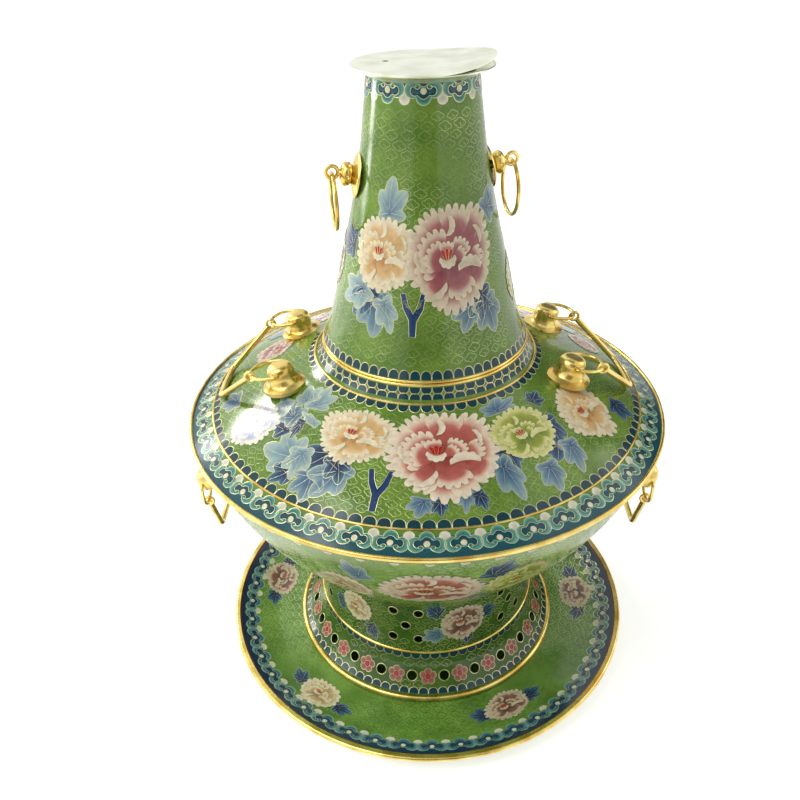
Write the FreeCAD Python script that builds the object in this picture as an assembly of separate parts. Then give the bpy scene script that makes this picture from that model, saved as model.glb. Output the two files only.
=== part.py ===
import FreeCAD, Part
import math
import os

# A chimney hot pot: a wide bowl on a vented drum that stands in a dish, a charcoal tube up through
# the bowl, a ring-shaped domed lid round the tube, a tall chimney on the lid and a loose damper plate.
# Millimetres. The origin is on the table under the middle of the pot, +Z is up, and the two
# sides with handles face +X and -X.

os.makedirs("parts", exist_ok=True)

V = FreeCAD.Vector
UP = V(0, 0, 1)
X = V(1, 0, 0)
Y = V(0, 1, 0)

# ---- driving sizes -------------------------------------------------------------------------------
SHEET = 1.2               # copper sheet of the dish, drum, lid and chimney
BOWL_SHEET = 1.5          # heavier sheet of the bowl and the charcoal tube
SEAT = 0.05               # gap left where one piece stands on another
LOOSE = 0.4               # gap round a piece that drops into another
SHANK_GAP = 0.05          # gap round a rivet or bolt in its hole
PIN_GAP = 0.08            # gap round a wire that turns in its hole or eye
HANG_GAP = 0.3            # gap between a bail's eye and the link it hangs on
REST_GAP = 0.15           # gap between a lid bail's grip and the dome
SOLDER_GAP = 0.1          # under a wire soldered to a sheet
RIM_PROUD = 1.8           # how far a rolled rim stands out from its sheet

DISH_RIM_R = 155.7        # outermost edge of the dish
DISH_RIM_Z = 17.0
DISH_FLOOR_Z = 3.8        # top of the dish's floor
DISH_FLOOR_R = 112.0      # where the floor begins to rise
DISH_FOOT_R = 108.0       # foot ring under the dish
DISH_FOOT_WALL = 2.0

FOOT_R = 100.1            # middle line of the round bead under the flare
FOOT_BEAD = 2.2
BELT_R = 83.2             # band between drum and flare
BELT_Z = 34.9
BELT_H = 2.2
DRUM_TOP_R = 79.5
VENT_R = 3.7              # air holes in the flare
VENT_COUNT = 24
VENT_FIRST = -97.5        # degrees
DRUM_VENT_R = 3.3         # air holes in the drum, in groups of five
DRUM_GROUPS = 6
DRUM_GROUP_FIRST = -101.3
DRUM_GROUP_RISE = 24.4    # middle of a group above the belt
DRUM_GROUP_DZ = 12.3
DRUM_GROUP_TURN = 6.6

BOWL_FLOOR_R = 62.0       # where the bowl's floor turns up
BOWL_FLOOR_Z = 67.0
BOWL_MOUTH_R = 157.6
BOWL_RIM_H = 2.95
TUBE_FOOT_R = 52.0        # charcoal tube
TUBE_TOP_R = 44.2
TUBE_LENGTH = 218.0
TUBE_DROP = 7.0           # how far the tube reaches below the bowl's floor
TUBE_LIP = 1.5
LEDGE_W = 4.0             # ledge inside the tube that carries the grate
LEDGE_T = 2.0
GRATE_T = 3.0
GRATE_GAP = 0.6
SLOT_W = 5.0
SLOT_PITCH = 11.0

LID_SEAT_Z = 201.0        # underside of the lid's rim
LID_OVERHANG = 0.6        # how far the lid reaches past the bowl's rim
LID_RIM_H = 3.5
LID_H = 53.2              # from the seat up to the top of the collar
LIP_DEPTH = 6.0           # how far the lid's inner lip drops into the bowl
LIP_GAP = 2.0
COLLAR_TOP_R = 67.2
COLLAR_SPREAD = 4.7       # how much wider the collar is at its foot
COLLAR_H = 8.7
COLLAR_RIM_H = 2.0
BORDER_IN = 16.0          # gilt line of the lid's border, in from the lid's edge
BORDER_WIRE = 0.7
COLLAR_WIRE = 0.9

CHIMNEY_H = 160.8         # from the lid's collar to the flange
CHIMNEY_TOP_R = 31.5
SPIGOT_DEPTH = 8.2        # how far the chimney drops into the collar
SPIGOT_WALL = 1.4
FLANGE_R = 40.0
FLANGE_H = 4.5
NECK_DEPTH = 5.0          # how far the flange reaches down inside the chimney
PLATE_OVERHANG = 0.4      # damper plate
PLATE_T = 0.9
PLATE_LIFT = 4.4          # how far its bent edge stands above the flange
PLATE_FLAT_TO = 2.0
PLATE_HOLE_R = 1.8
PLATE_HOLE_X = -20.5
PLATE_HOLE_Y = 3.0

LID_HANDLES = {"right": 4.2, "left": 178.0}      # directions the handles face, degrees
BOWL_HANDLES = {"right": -2.0, "left": 181.0}
CHIMNEY_HANDLES = {"right": 11.0, "left": 191.0}
STUD_HALF_SPACING = 36.4  # half the distance between a handle's two studs
STUD_BRIM_R = 14.2
STUD_NECK_R = 8.6
STUD_H = 15.4
STUD_HOLE_H = 11.3        # height of the cross hole above the stud's brim
SHANK_R = 2.5             # rivets and eye bolts
WASHER_T = 1.2
LID_STUD_X = 88.4
LID_STUD_LIFT = 1.9       # how far a stud's brim stands off the dome
LID_STUD_LEAN = 11.0      # degrees out from upright
LID_LINK_SLOPE = -8.1     # slope of the lid's links, degrees from level
BAIL_SLIP = 4.7           # how far the lid's bails have slid along their links
BOWL_STUD_DROP = 34.0     # height of the bowl's studs below the lid's seat
BOWL_STUD_LIFT = 2.2
BOWL_STUD_DROOP = 14.0    # degrees below level
LINK_WIRE = 1.1
LINK_LENGTH = 19.3
LINK_CLEAR = 1.6          # between a link and the neck of its stud
BAIL_ROD = 2.05
BAIL_CORNER = 18.0        # half the width of the grip
BAIL_DEPTH = 38.5
GRIP_BOW = 1.2
EYE_RING = 3.1
EYE_WIRE = 1.0
CHIMNEY_STUD_RISE = 106.8 # height of the chimney's eye bolts above the collar
ROSETTE_R = 13.0
ROSETTE_H = 3.4
BOSS_R = 6.9
BOSS_H = 7.15
DIMPLE_R = 1.7
NUT_R = 4.6
NUT_T = 2.2
CHIMNEY_EYE_R = 3.5
CHIMNEY_EYE_WIRE = 1.15
RING_R = 16.15
RING_WIRE = 1.2

# ---- sizes that follow ----------------------------------------------------------------------------
drum_r = BELT_R - 0.4
foot_z = DISH_FLOOR_Z + SEAT + FOOT_BEAD
bowl_mouth_z = LID_SEAT_Z - SEAT - BOWL_RIM_H
bowl_rim_r = BOWL_MOUTH_R + RIM_PROUD
tube_foot_z = BOWL_FLOOR_Z - TUBE_DROP
lid_r = bowl_rim_r + LID_OVERHANG
collar_top_z = LID_SEAT_Z + LID_H
collar_r = COLLAR_TOP_R + COLLAR_SPREAD
collar_low_z = collar_top_z - 1.2 - COLLAR_H
collar_hole_r = COLLAR_TOP_R - 2.8
chimney_low_z = collar_top_z + SEAT
chimney_top_z = collar_top_z + CHIMNEY_H
flange_top_z = chimney_top_z + FLANGE_H
plate_r = FLANGE_R + PLATE_OVERHANG
link_half_w = STUD_NECK_R + LINK_WIRE + LINK_CLEAR
eye_drop = EYE_RING - EYE_WIRE - LINK_WIRE - HANG_GAP


# ---- working functions ---------------------------------------------------------------------------
def save(name, *solids):
    """Write one node; several solids in it are separate copies of one fastener or trim."""
    shape = solids[0] if len(solids) == 1 else Part.makeCompound(list(solids))
    shape.exportStep("parts/" + name + ".step")


def at(radius, height):
    return V(radius, 0, height)


def between(start, end, shares):
    """A profile from start to end; each share pair is a point's part of the way out and up."""
    inner = [(start[0] + (end[0] - start[0]) * a, start[1] + (end[1] - start[1]) * b) for a, b in shares]
    return [start] + inner + [end]


def curve(points):
    """A smooth line through (radius, height) points."""
    if len(points) == 2:
        return Part.makeLine(at(*points[0]), at(*points[1]))
    line = Part.BSplineCurve()
    line.interpolate([at(*p) for p in points])
    return line.toShape()


def turned(edges):
    """Spin a closed outline in the XZ plane round the middle line."""
    wire = Part.Wire(Part.__sortEdges__(edges))
    return Part.makeSolid(Part.Face(wire).revolve(V(0, 0, 0), UP, 360))


def turned_polygon(points):
    corners = [at(*p) for p in points] + [at(*points[0])]
    return turned(Part.makePolygon(corners).Edges)


def inward(points, distance):
    """Points moved sideways, to the left of the way they run."""
    moved = []
    for i, (r, z) in enumerate(points):
        before = points[max(i - 1, 0)]
        after = points[min(i + 1, len(points) - 1)]
        dr = after[0] - before[0]
        dz = after[1] - before[1]
        length = math.hypot(dr, dz)
        moved.append((r - dz / length * distance, z + dr / length * distance))
    return moved


def sheet_wall(points, thickness):
    """A spun sheet: its outer face runs through the points, its inner face lies to their left."""
    inner = inward(points, thickness)
    ends = [curve([points[0], inner[0]]), curve([points[-1], inner[-1]])]
    return turned([curve(points), curve(inner)] + ends)


def filled(points):
    """The solid inside a spun face, flat at both ends."""
    (first_r, first_z), (last_r, last_z) = points[0], points[-1]
    return turned([curve(points), curve([(first_r, first_z), (0.0, first_z)]),
                   curve([(0.0, first_z), (0.0, last_z)]), curve([(0.0, last_z), (last_r, last_z)])])


def half_round(radius, low, high, bulge, inner):
    """A band round the middle line, rounded outside and flat on its inner face."""
    shoulder = radius - bulge
    arc = Part.Arc(at(shoulder, low), at(radius, (low + high) / 2), at(shoulder, high)).toShape()
    back = Part.makePolygon([at(shoulder, high), at(inner, high), at(inner, low), at(shoulder, low)])
    return turned([arc] + back.Edges)


def traced(points):
    """Close-set points along the smooth line through the given ones."""
    return [(p.x, p.z) for p in curve(points).discretize(400)]


def radius_on(face, height):
    """Radius of a traced face at a height."""
    rows = sorted(face, key=lambda p: p[1])
    for (r0, z0), (r1, z1) in zip(rows[:-1], rows[1:]):
        if z0 <= height <= z1:
            return r0 + (r1 - r0) * (height - z0) / (z1 - z0)
    raise ValueError("height is off the face")


def height_on(face, radius):
    return radius_on([(z, r) for r, z in face], radius)


def way_out(face, radius, height):
    """Outward direction square to a traced face, as (radial, up), near a point on it."""
    nearest = min(range(len(face) - 1), key=lambda i: math.dist(face[i], (radius, height)))
    (r0, z0), (r1, z1) = face[nearest], face[nearest + 1]
    length = math.hypot(r1 - r0, z1 - z0)
    return abs(z1 - z0) / length, -(r1 - r0) / length * math.copysign(1, z1 - z0)


def bead_on(face, radius, wire):
    """A half-round wire, drawn down with narrow flats, soldered round a traced face."""
    height = height_on(face, radius)
    out_r, out_z = way_out(face, radius, height)
    flats = []
    for degrees in range(0, 181, 36):
        side = wire * math.cos(math.radians(degrees))
        rise = wire * math.sin(math.radians(degrees)) + SOLDER_GAP
        flats.append((radius + out_z * side + out_r * rise, height - out_r * side + out_z * rise))
    return turned_polygon(flats)


def polar(radius, degrees, height=0.0):
    turn = math.radians(degrees)
    return V(radius * math.cos(turn), radius * math.sin(turn), height)


def facing(shape, degrees):
    """A copy turned from +X to face another direction."""
    copy = shape.copy()
    copy.rotate(V(0, 0, 0), UP, degrees)
    return copy


def stood(shape, base, axis):
    """A copy built along +Z, stood on a base point along an axis."""
    copy = shape.copy()
    copy.Placement = FreeCAD.Placement(base, FreeCAD.Rotation(UP, axis))
    return copy


def rounded_path(points, radii):
    """Lines through points, with an arc of the given radius at each inner point."""
    edges = []
    start = points[0]
    for here, after, radius in zip(points[1:-1], points[2:], radii):
        to_start = (start - here).normalize()
        to_after = (after - here).normalize()
        half = to_start.getAngle(to_after) / 2
        reach = radius / math.tan(half)
        middle = (to_start + to_after).normalize()
        first = here + to_start * reach
        last = here + to_after * reach
        crown = here + middle * (radius / math.sin(half) - radius)
        edges.append(Part.makeLine(start, first))
        edges.append(Part.Arc(first, crown, last).toShape())
        start = last
    edges.append(Part.makeLine(start, points[-1]))
    return Part.Wire(edges)


def rod(path, radius):
    """A round wire bent along a path."""
    first = path.OrderedEdges[0]
    begin = first.valueAt(first.FirstParameter)
    along = first.tangentAt(first.FirstParameter)
    ring = Part.Wire(Part.Circle(begin, along, radius).toShape())
    return path.makePipeShell([ring], True, False)


# ---- outer faces as (radius, height) points ---------------------------------------------------------
DISH_TOP = between((DISH_FLOOR_R, DISH_FLOOR_Z), (DISH_RIM_R - 4.1, DISH_RIM_Z - 0.5),
                   [(0.25, 0.09), (0.45, 0.28), (0.66, 0.54), (0.86, 0.82)])
FLARE = between((drum_r, BELT_Z - 0.9), (FOOT_R - 1.3, foot_z + 1.55),
                [(0.05, 0.15), (0.20, 0.40), (0.45, 0.64), (0.74, 0.85)])
BOWL = between((BOWL_FLOOR_R, BOWL_FLOOR_Z), (BOWL_MOUTH_R, bowl_mouth_z),
               [(0.105, 0.043), (0.195, 0.099), (0.370, 0.252), (0.538, 0.405), (0.695, 0.557),
                (0.822, 0.710), (0.920, 0.863)])
TUBE = between((TUBE_FOOT_R, tube_foot_z), (TUBE_TOP_R, tube_foot_z + TUBE_LENGTH),
               [(0.19, 0.18), (0.45, 0.46), (0.69, 0.73), (0.91, 0.93)])
COLLAR = between((COLLAR_TOP_R, collar_top_z - 1.2), (collar_r, collar_low_z), [(0.47, 0.54)])
DOME = between((collar_r, collar_low_z), (lid_r - 2.7, LID_SEAT_Z + 2.8),
               [(0.071, 0.077), (0.153, 0.151), (0.329, 0.321), (0.505, 0.494), (0.680, 0.669),
                (0.844, 0.847), (0.938, 0.941)])
CHIMNEY = between((COLLAR_TOP_R - 0.9, chimney_low_z + 1.35), (CHIMNEY_TOP_R, chimney_top_z),
                  [(0.155, 0.087), (0.239, 0.150), (0.325, 0.227), (0.431, 0.326), (0.635, 0.516),
                   (0.759, 0.642), (0.856, 0.759), (0.908, 0.843), (0.957, 0.924)])
BOWL_FACE = traced(BOWL)
drum_top_z = height_on(BOWL_FACE, DRUM_TOP_R) + 7.0
DRUM = between((DRUM_TOP_R, drum_top_z), (drum_r, BELT_Z + 0.1),
               [(0.03, 0.235), (0.21, 0.51), (0.515, 0.765)])
DOME_FACE = traced(DOME)
FLARE_FACE = traced(FLARE)
TUBE_FACE = traced(TUBE)
CHIMNEY_FACE = traced(CHIMNEY)

# ---- dish: spun sheet, rolled rim, soldered foot ring ----------------------------------------------
dish_line = [(0.0, DISH_FLOOR_Z), (DISH_FLOOR_R - 12.0, DISH_FLOOR_Z)] + DISH_TOP
dish_under = [(r, z - SHEET) for r, z in dish_line[:2]] + inward(DISH_TOP, -SHEET)
dish = turned([curve(dish_line[:2]), curve(dish_line[1:]), curve(dish_under[:2]), curve(dish_under[1:]),
               curve([dish_line[0], dish_under[0]]), curve([dish_line[-1], dish_under[-1]])])
save("dish", dish)

dish_rim = half_round(DISH_RIM_R, DISH_RIM_Z - 3.0, DISH_RIM_Z + 0.6, 1.6, DISH_TOP[-1][0] + 0.1)
save("dish_rim", dish_rim.cut(dish))

dish_foot = turned_polygon([(DISH_FOOT_R - DISH_FOOT_WALL, 0.0), (DISH_FOOT_R, 0.0),
                            (DISH_FOOT_R, DISH_FLOOR_Z), (DISH_FOOT_R - DISH_FOOT_WALL, DISH_FLOOR_Z)])
save("dish_foot", dish_foot.cut(dish).Solids[0])

# ---- pot: bowl, drum and flare with air holes ------------------------------------------------------
bowl_form = filled(BOWL)
bowl_hole_r = radius_on(TUBE_FACE, BOWL_FLOOR_Z) + 0.3
bowl_wall = sheet_wall([(bowl_hole_r, BOWL_FLOOR_Z - 1.0)] + BOWL, BOWL_SHEET)

drum_wall = sheet_wall(DRUM, -SHEET)
drum_wall = min(drum_wall.cut(bowl_form).Solids, key=lambda s: s.BoundBox.ZMin)
flare_wall = sheet_wall(FLARE, -SHEET)

vents = []
vent_r, vent_z = FLARE[3]
out_r, out_z = way_out(FLARE_FACE, vent_r, vent_z)
for i in range(VENT_COUNT):
    turn = VENT_FIRST + i * 360 / VENT_COUNT
    axis = polar(out_r, turn, out_z)
    vents.append(Part.makeCylinder(VENT_R, 12, polar(vent_r, turn, vent_z) - axis * 6, axis))
flare_wall = flare_wall.cut(Part.makeCompound(vents))
save("base_flare", flare_wall)

drum_vents = []
for i in range(DRUM_GROUPS):
    for across, above in [(0, 0), (-1, -1), (-1, 1), (1, -1), (1, 1)]:
        turn = DRUM_GROUP_FIRST + i * 360 / DRUM_GROUPS + across * DRUM_GROUP_TURN
        height = BELT_Z + DRUM_GROUP_RISE + above * DRUM_GROUP_DZ
        start = polar(DRUM_TOP_R - 7, turn, height)
        drum_vents.append(Part.makeCylinder(DRUM_VENT_R, 18, start, polar(1, turn)))
drum_wall = drum_wall.cut(Part.makeCompound(drum_vents))
save("base_drum", drum_wall)

belt_low = BELT_Z - BELT_H / 2
base_belt = half_round(BELT_R + 0.5, belt_low, belt_low + BELT_H, 0.7, drum_r - SHEET)
save("base_belt", base_belt.cut(Part.makeCompound([drum_wall, flare_wall])).Solids[0])

base_foot = Part.makeTorus(FOOT_R, FOOT_BEAD, V(0, 0, foot_z), UP)
save("base_foot_rim", base_foot.cut(flare_wall))

bowl_rim = half_round(bowl_rim_r, bowl_mouth_z, LID_SEAT_Z - SEAT, 0.9, BOWL_MOUTH_R - BOWL_SHEET)
save("bowl_rim", bowl_rim.cut(bowl_wall))

# ---- charcoal tube and grate, inside the bowl ------------------------------------------------------
tube_wall = sheet_wall(TUBE, BOWL_SHEET)
tube_lip = Part.makeTorus(TUBE_TOP_R - BOWL_SHEET / 2, TUBE_LIP, V(0, 0, TUBE[-1][1] + 0.6), UP)
save("fire_tube", tube_wall)
save("fire_tube_lip", tube_lip.cut(tube_wall))

ledge_low = tube_foot_z + 1.0
ledge_top = ledge_low + LEDGE_T
ledge_out = radius_on(TUBE_FACE, ledge_low) - BOWL_SHEET
grate_ledge = turned_polygon([(ledge_out, ledge_low), (ledge_out - LEDGE_W, ledge_low),
                              (ledge_out - LEDGE_W, ledge_top), (ledge_out - 0.1, ledge_top)])
save("grate_ledge", grate_ledge.cut(tube_wall).Solids[0])

grate_r = ledge_out - GRATE_GAP
grate = Part.makeCylinder(grate_r, GRATE_T, V(0, 0, ledge_top + SEAT))
slots = []
for i in range(-3, 4):
    half = math.sqrt((grate_r - 7.0) ** 2 - (i * SLOT_PITCH) ** 2)
    corner = V(i * SLOT_PITCH - SLOT_W / 2, -half, ledge_low)
    slots.append(Part.makeBox(SLOT_W, 2 * half, LEDGE_T + GRATE_T + 5, corner))
save("fire_grate", grate.cut(Part.makeCompound(slots)))

# ---- lid: a ring-shaped dome with a collar that carries the chimney -----------------------------------
collar_in = inward(COLLAR, -SHEET)
dome_in = inward(DOME, -SHEET)
collar_in[-1] = (collar_r - SHEET * 1.25, collar_low_z - SHEET * 0.85)
dome_in[0] = collar_in[-1]
lid_wall = turned([curve(COLLAR), curve(DOME), curve(collar_in), curve(dome_in),
                   curve([COLLAR[0], collar_in[0]]), curve([DOME[-1], dome_in[-1]])])

lid_rim = half_round(lid_r, LID_SEAT_Z, LID_SEAT_Z + LID_RIM_H, 1.3, lid_r - 4.6)
save("lid_rim", lid_rim.cut(lid_wall).Solids[0])

lip_low = LID_SEAT_Z - LIP_DEPTH
lip_out = radius_on(BOWL_FACE, lip_low) - BOWL_SHEET - LOOSE - LIP_GAP
lip_top = height_on(DOME_FACE, lip_out) + 1.0
lid_lip = turned_polygon([(lip_out - SHEET, lip_low), (lip_out, lip_low),
                          (lip_out, lip_top), (lip_out - SHEET, lip_top)])
save("lid_locating_lip", min(lid_lip.cut(lid_wall).Solids, key=lambda s: s.BoundBox.ZMin))

save("lid_border_line", bead_on(DOME_FACE, lid_r - BORDER_IN, BORDER_WIRE))
save("lid_collar_line", bead_on(DOME_FACE, collar_r + COLLAR_WIRE + 0.1, COLLAR_WIRE))

collar_rim = half_round(COLLAR_TOP_R + 0.4, collar_top_z - COLLAR_RIM_H, collar_top_z, 0.9, collar_hole_r)
save("lid_collar_rim", collar_rim.cut(lid_wall).Solids[0])

# ---- chimney: tapered sheet, foot ring with a spigot, trumpet flange -----------------------------------
chimney_wall = sheet_wall(CHIMNEY, SHEET)

spigot_out = collar_hole_r - LOOSE
spigot_in = spigot_out - SPIGOT_WALL
foot_ring = half_round(COLLAR_TOP_R - 0.2, chimney_low_z, chimney_low_z + 1.9, 0.8, spigot_in)
spigot_low = collar_top_z - SPIGOT_DEPTH
spigot = turned_polygon([(spigot_in, spigot_low), (spigot_out, spigot_low),
                         (spigot_out, chimney_low_z + 0.5), (spigot_in, chimney_low_z + 0.5)])
save("chimney_foot_ring", foot_ring.fuse(spigot).cut(chimney_wall).removeSplitter())

flare_w = FLANGE_R - CHIMNEY_TOP_R
neck_in = CHIMNEY_TOP_R - 2 * SHEET
neck_low = chimney_top_z - NECK_DEPTH
edge = [at(FLANGE_R - 0.4, flange_top_z - 0.9), at(FLANGE_R, flange_top_z - 0.4),
        at(FLANGE_R - 0.3, flange_top_z), at(FLANGE_R - 1.2, flange_top_z)]
outer_bend = at(CHIMNEY_TOP_R + flare_w * 0.42, chimney_top_z + FLANGE_H * 0.56)
inner_bend = at(CHIMNEY_TOP_R + flare_w * 0.26, chimney_top_z + FLANGE_H * 0.8)
outer_arc = Part.Arc(at(CHIMNEY_TOP_R, chimney_top_z), outer_bend, edge[0]).toShape()
inner_arc = Part.Arc(at(neck_in, chimney_top_z + 1.4), inner_bend, edge[-1]).toShape()
neck = Part.makePolygon([at(neck_in, chimney_top_z + 1.4), at(neck_in, neck_low),
                         at(CHIMNEY_TOP_R - SHEET, neck_low), at(CHIMNEY_TOP_R - SHEET, chimney_top_z),
                         at(CHIMNEY_TOP_R, chimney_top_z)])
flange = turned([outer_arc, inner_arc] + Part.makePolygon(edge).Edges + neck.Edges)
save("chimney_flange", flange.cut(chimney_wall).Solids[0])

# ---- damper plate: a loose disc, bent up along one side -------------------------------------------------
run = plate_r - PLATE_FLAT_TO
bend_r = (run ** 2 + PLATE_LIFT ** 2) / (2 * PLATE_LIFT)
plate_z = flange_top_z + SEAT
plate_edge = plate_r + 5


def bend_point(x, lift):
    return V(x, -plate_edge, plate_z + lift)


half_x = PLATE_FLAT_TO + run / 2
half_lift = bend_r - math.sqrt(bend_r ** 2 - (run / 2) ** 2)
under = Part.Arc(bend_point(PLATE_FLAT_TO, 0), bend_point(half_x, half_lift),
                 bend_point(plate_r, PLATE_LIFT)).toShape()
over = Part.Arc(bend_point(PLATE_FLAT_TO, PLATE_T), bend_point(half_x, half_lift + PLATE_T),
                bend_point(plate_r, PLATE_LIFT + PLATE_T)).toShape()
flat = Part.makePolygon([bend_point(PLATE_FLAT_TO, 0), bend_point(-plate_edge, 0),
                         bend_point(-plate_edge, PLATE_T), bend_point(PLATE_FLAT_TO, PLATE_T)])
tip = Part.makeLine(bend_point(plate_r, PLATE_LIFT), bend_point(plate_r, PLATE_LIFT + PLATE_T))
plate_face = Part.Face(Part.Wire(Part.__sortEdges__([under, over, tip] + flat.Edges)))
plate_tall = PLATE_LIFT + PLATE_T + 2
plate = plate_face.extrude(V(0, 2 * plate_edge, 0))
plate = plate.common(Part.makeCylinder(plate_r, plate_tall, V(0, 0, plate_z - 1)))
hole_base = V(PLATE_HOLE_X, PLATE_HOLE_Y, plate_z - 1)
save("chimney_damper_plate", plate.cut(Part.makeCylinder(PLATE_HOLE_R, plate_tall, hole_base)))

# ---- handles of lid and bowl: two studs, a link through each, and a swinging bail ------------------
stud_side = [(STUD_BRIM_R, 0.9), (STUD_BRIM_R - 1.8, 1.7), (STUD_NECK_R + 1.9, 2.9),
             (STUD_NECK_R + 0.7, 4.6), (STUD_NECK_R + 0.1, 6.8), (STUD_NECK_R, STUD_H - 4.8),
             (STUD_NECK_R - 0.7, STUD_H - 2.4), (STUD_NECK_R - 2.6, STUD_H - 0.8),
             (3.2, STUD_H - 0.2), (0.0, STUD_H)]
stud_under = [stud_side[0], (STUD_BRIM_R - 0.2, -1.6), (STUD_BRIM_R - 1.4, -1.6),
              (STUD_BRIM_R - 2.0, -0.2), (STUD_NECK_R - 0.6, -0.2), (STUD_NECK_R - 0.6, -9.0),
              (0.0, -9.0), stud_side[-1]]
stud_form = turned([curve(stud_side)] + [curve(list(pair)) for pair in zip(stud_under, stud_under[1:])])


def sloping(degrees):
    """Direction in the XZ plane, outward and up by a slope."""
    return V(math.cos(math.radians(degrees)), 0, math.sin(math.radians(degrees)))


def handle_studs(face, vessel, base_x, base_z, lift, lean, sheet):
    """The two studs of a handle facing +X, their washers, holes in the wall and link pivots."""
    spread = math.hypot(base_x, STUD_HALF_SPACING)
    out_r, out_z = way_out(face, spread, base_z)
    axis = sloping(lean)
    washer_at = sheet + 0.3 + WASHER_T
    studs = []
    washers = []
    holes = []
    pins = []
    for side in (-1, 1):
        turn = math.degrees(math.atan2(side * STUD_HALF_SPACING, base_x))
        square = polar(out_r, turn, out_z)
        on_wall = polar(spread, turn, base_z)
        base = on_wall + axis * lift
        notch = Part.makeCylinder(1.8, 9, base + polar(STUD_BRIM_R + 0.4, 250 * side, -4.5), UP)
        body = stood(stud_form, base, axis).cut(notch).cut(vessel)
        body = max(body.Solids, key=lambda s: s.Volume)
        head_at = washer_at + SEAT
        shank = Part.makeCylinder(SHANK_R, head_at + 2.0, on_wall - square * head_at, square)
        head = Part.makeCylinder(SHANK_R + 1.1, 1.2, on_wall - square * (head_at + 1.2), square)
        washer = Part.makeCylinder(SHANK_R + 3.0, WASHER_T, on_wall - square * washer_at, square)
        bore = Part.makeCylinder(SHANK_R + SHANK_GAP, 12, on_wall - square * 9, square)
        pins.append(base + axis * STUD_HOLE_H)
        studs.append(body.fuse([shank, head]))
        washers.append(washer.cut(bore))
        holes.append(bore)
    reach = STUD_HALF_SPACING + STUD_BRIM_R
    pin_line = Part.makeCylinder(LINK_WIRE + PIN_GAP, 2 * reach, V(pins[0].x, -reach, pins[0].z), Y)
    return [s.cut(pin_line) for s in studs], washers, holes, pins


def link_at(pin, slope):
    """A D-shaped wire link whose two bent ends sit in a stud's cross hole."""
    bend = 2.0
    short = bend * (1 - math.sqrt(0.5))
    straight = LINK_LENGTH - link_half_w

    def spot(out, across):
        return pin + sloping(slope) * out + Y * across

    edges = [Part.Arc(spot(straight, -link_half_w), spot(LINK_LENGTH, 0),
                      spot(straight, link_half_w)).toShape()]
    for side in (-1, 1):
        shoulder = side * (link_half_w - bend)
        edges.append(Part.makeLine(spot(0, side * 3.2), spot(0, shoulder)))
        edges.append(Part.Arc(spot(0, shoulder), spot(short, side * (link_half_w - short)),
                              spot(bend, side * link_half_w)).toShape())
        edges.append(Part.makeLine(spot(bend, side * link_half_w), spot(straight, side * link_half_w)))
    return rod(Part.Wire(Part.__sortEdges__(edges)), LINK_WIRE)


def hang_point(pin, slope, slip):
    """The middle of a link's wire where a bail's eye sits, slid sideways from its nose."""
    reach = LINK_LENGTH - link_half_w + math.sqrt(link_half_w ** 2 - slip ** 2)
    return pin + sloping(slope) * reach + Y * slip


def bail_at(first, second, slope):
    """A bent rod with an eye at each end, hung on two links."""
    middle = (first + second) * 0.5
    half = (second - first).Length / 2
    corner = V(BAIL_CORNER, BAIL_DEPTH, 0)
    lean = (corner - V(half, eye_drop, 0)).normalize()
    start = V(half, eye_drop, 0) + lean * (EYE_RING + 0.2)

    def spot(flat):
        return middle + Y * flat.x + sloping(slope) * flat.y

    path = [start, corner, V(0, BAIL_DEPTH + GRIP_BOW, 0), V(-corner.x, corner.y, 0),
            V(-start.x, start.y, 0)]
    bail = rod(rounded_path([spot(p) for p in path], [7.0, 60.0, 7.0]), BAIL_ROD)
    for side in (-1, 1):
        bail = bail.fuse(Part.makeTorus(EYE_RING, EYE_WIRE, spot(V(side * half, eye_drop, 0)), Y))
    return bail


def resting_slope(hung):
    """Slope at which a bail rests its grip on the dome, found by halving."""
    low = -80.0
    high = LID_LINK_SLOPE
    for _ in range(30):
        slope = (low + high) / 2
        gaps = []
        for reach, across in [(BAIL_DEPTH + GRIP_BOW, 0), (BAIL_DEPTH, BAIL_CORNER / 2)]:
            mark = hung + sloping(slope) * reach
            radius = math.hypot(mark.x, across)
            square_r, square_z = way_out(DOME_FACE, radius, mark.z)
            gaps.append((mark.z - height_on(DOME_FACE, radius)) * square_z)
        if min(gaps) < BAIL_ROD + REST_GAP:
            low = slope
        else:
            high = slope
    return high


def save_handles(vessel_name, sides, parts, link_slope, bail_slope, slip):
    """Write the handle nodes of one vessel and return the rivet holes in its wall."""
    studs, washers, holes, pins = parts
    for side, turn in sides.items():
        ends = ("front", "back") if side == "right" else ("back", "front")
        to_front = -slip if side == "right" else slip
        for end, pin in zip(ends, pins):
            save(vessel_name + "_link_" + side + "_" + end, facing(link_at(pin, link_slope), turn))
        hung = [hang_point(pin, link_slope, to_front) for pin in pins]
        save(vessel_name + "_bail_" + side, facing(bail_at(hung[0], hung[1], bail_slope), turn))
    turns = sides.values()
    save(vessel_name + "_handle_studs", *[facing(s, turn) for turn in turns for s in studs])
    save(vessel_name + "_stud_washers", *[facing(s, turn) for turn in turns for s in washers])
    return Part.makeCompound([facing(s, turn) for turn in turns for s in holes])


lid_stud_z = height_on(DOME_FACE, math.hypot(LID_STUD_X, STUD_HALF_SPACING))
lid_parts = handle_studs(DOME_FACE, filled(DOME), LID_STUD_X, lid_stud_z, LID_STUD_LIFT,
                         90 - LID_STUD_LEAN, SHEET)
lid_bail_slope = resting_slope(hang_point(lid_parts[3][0], LID_LINK_SLOPE, BAIL_SLIP))
lid_holes = save_handles("lid", LID_HANDLES, lid_parts, LID_LINK_SLOPE, lid_bail_slope, BAIL_SLIP)
save("lid_dome", lid_wall.cut(lid_holes))

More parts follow.
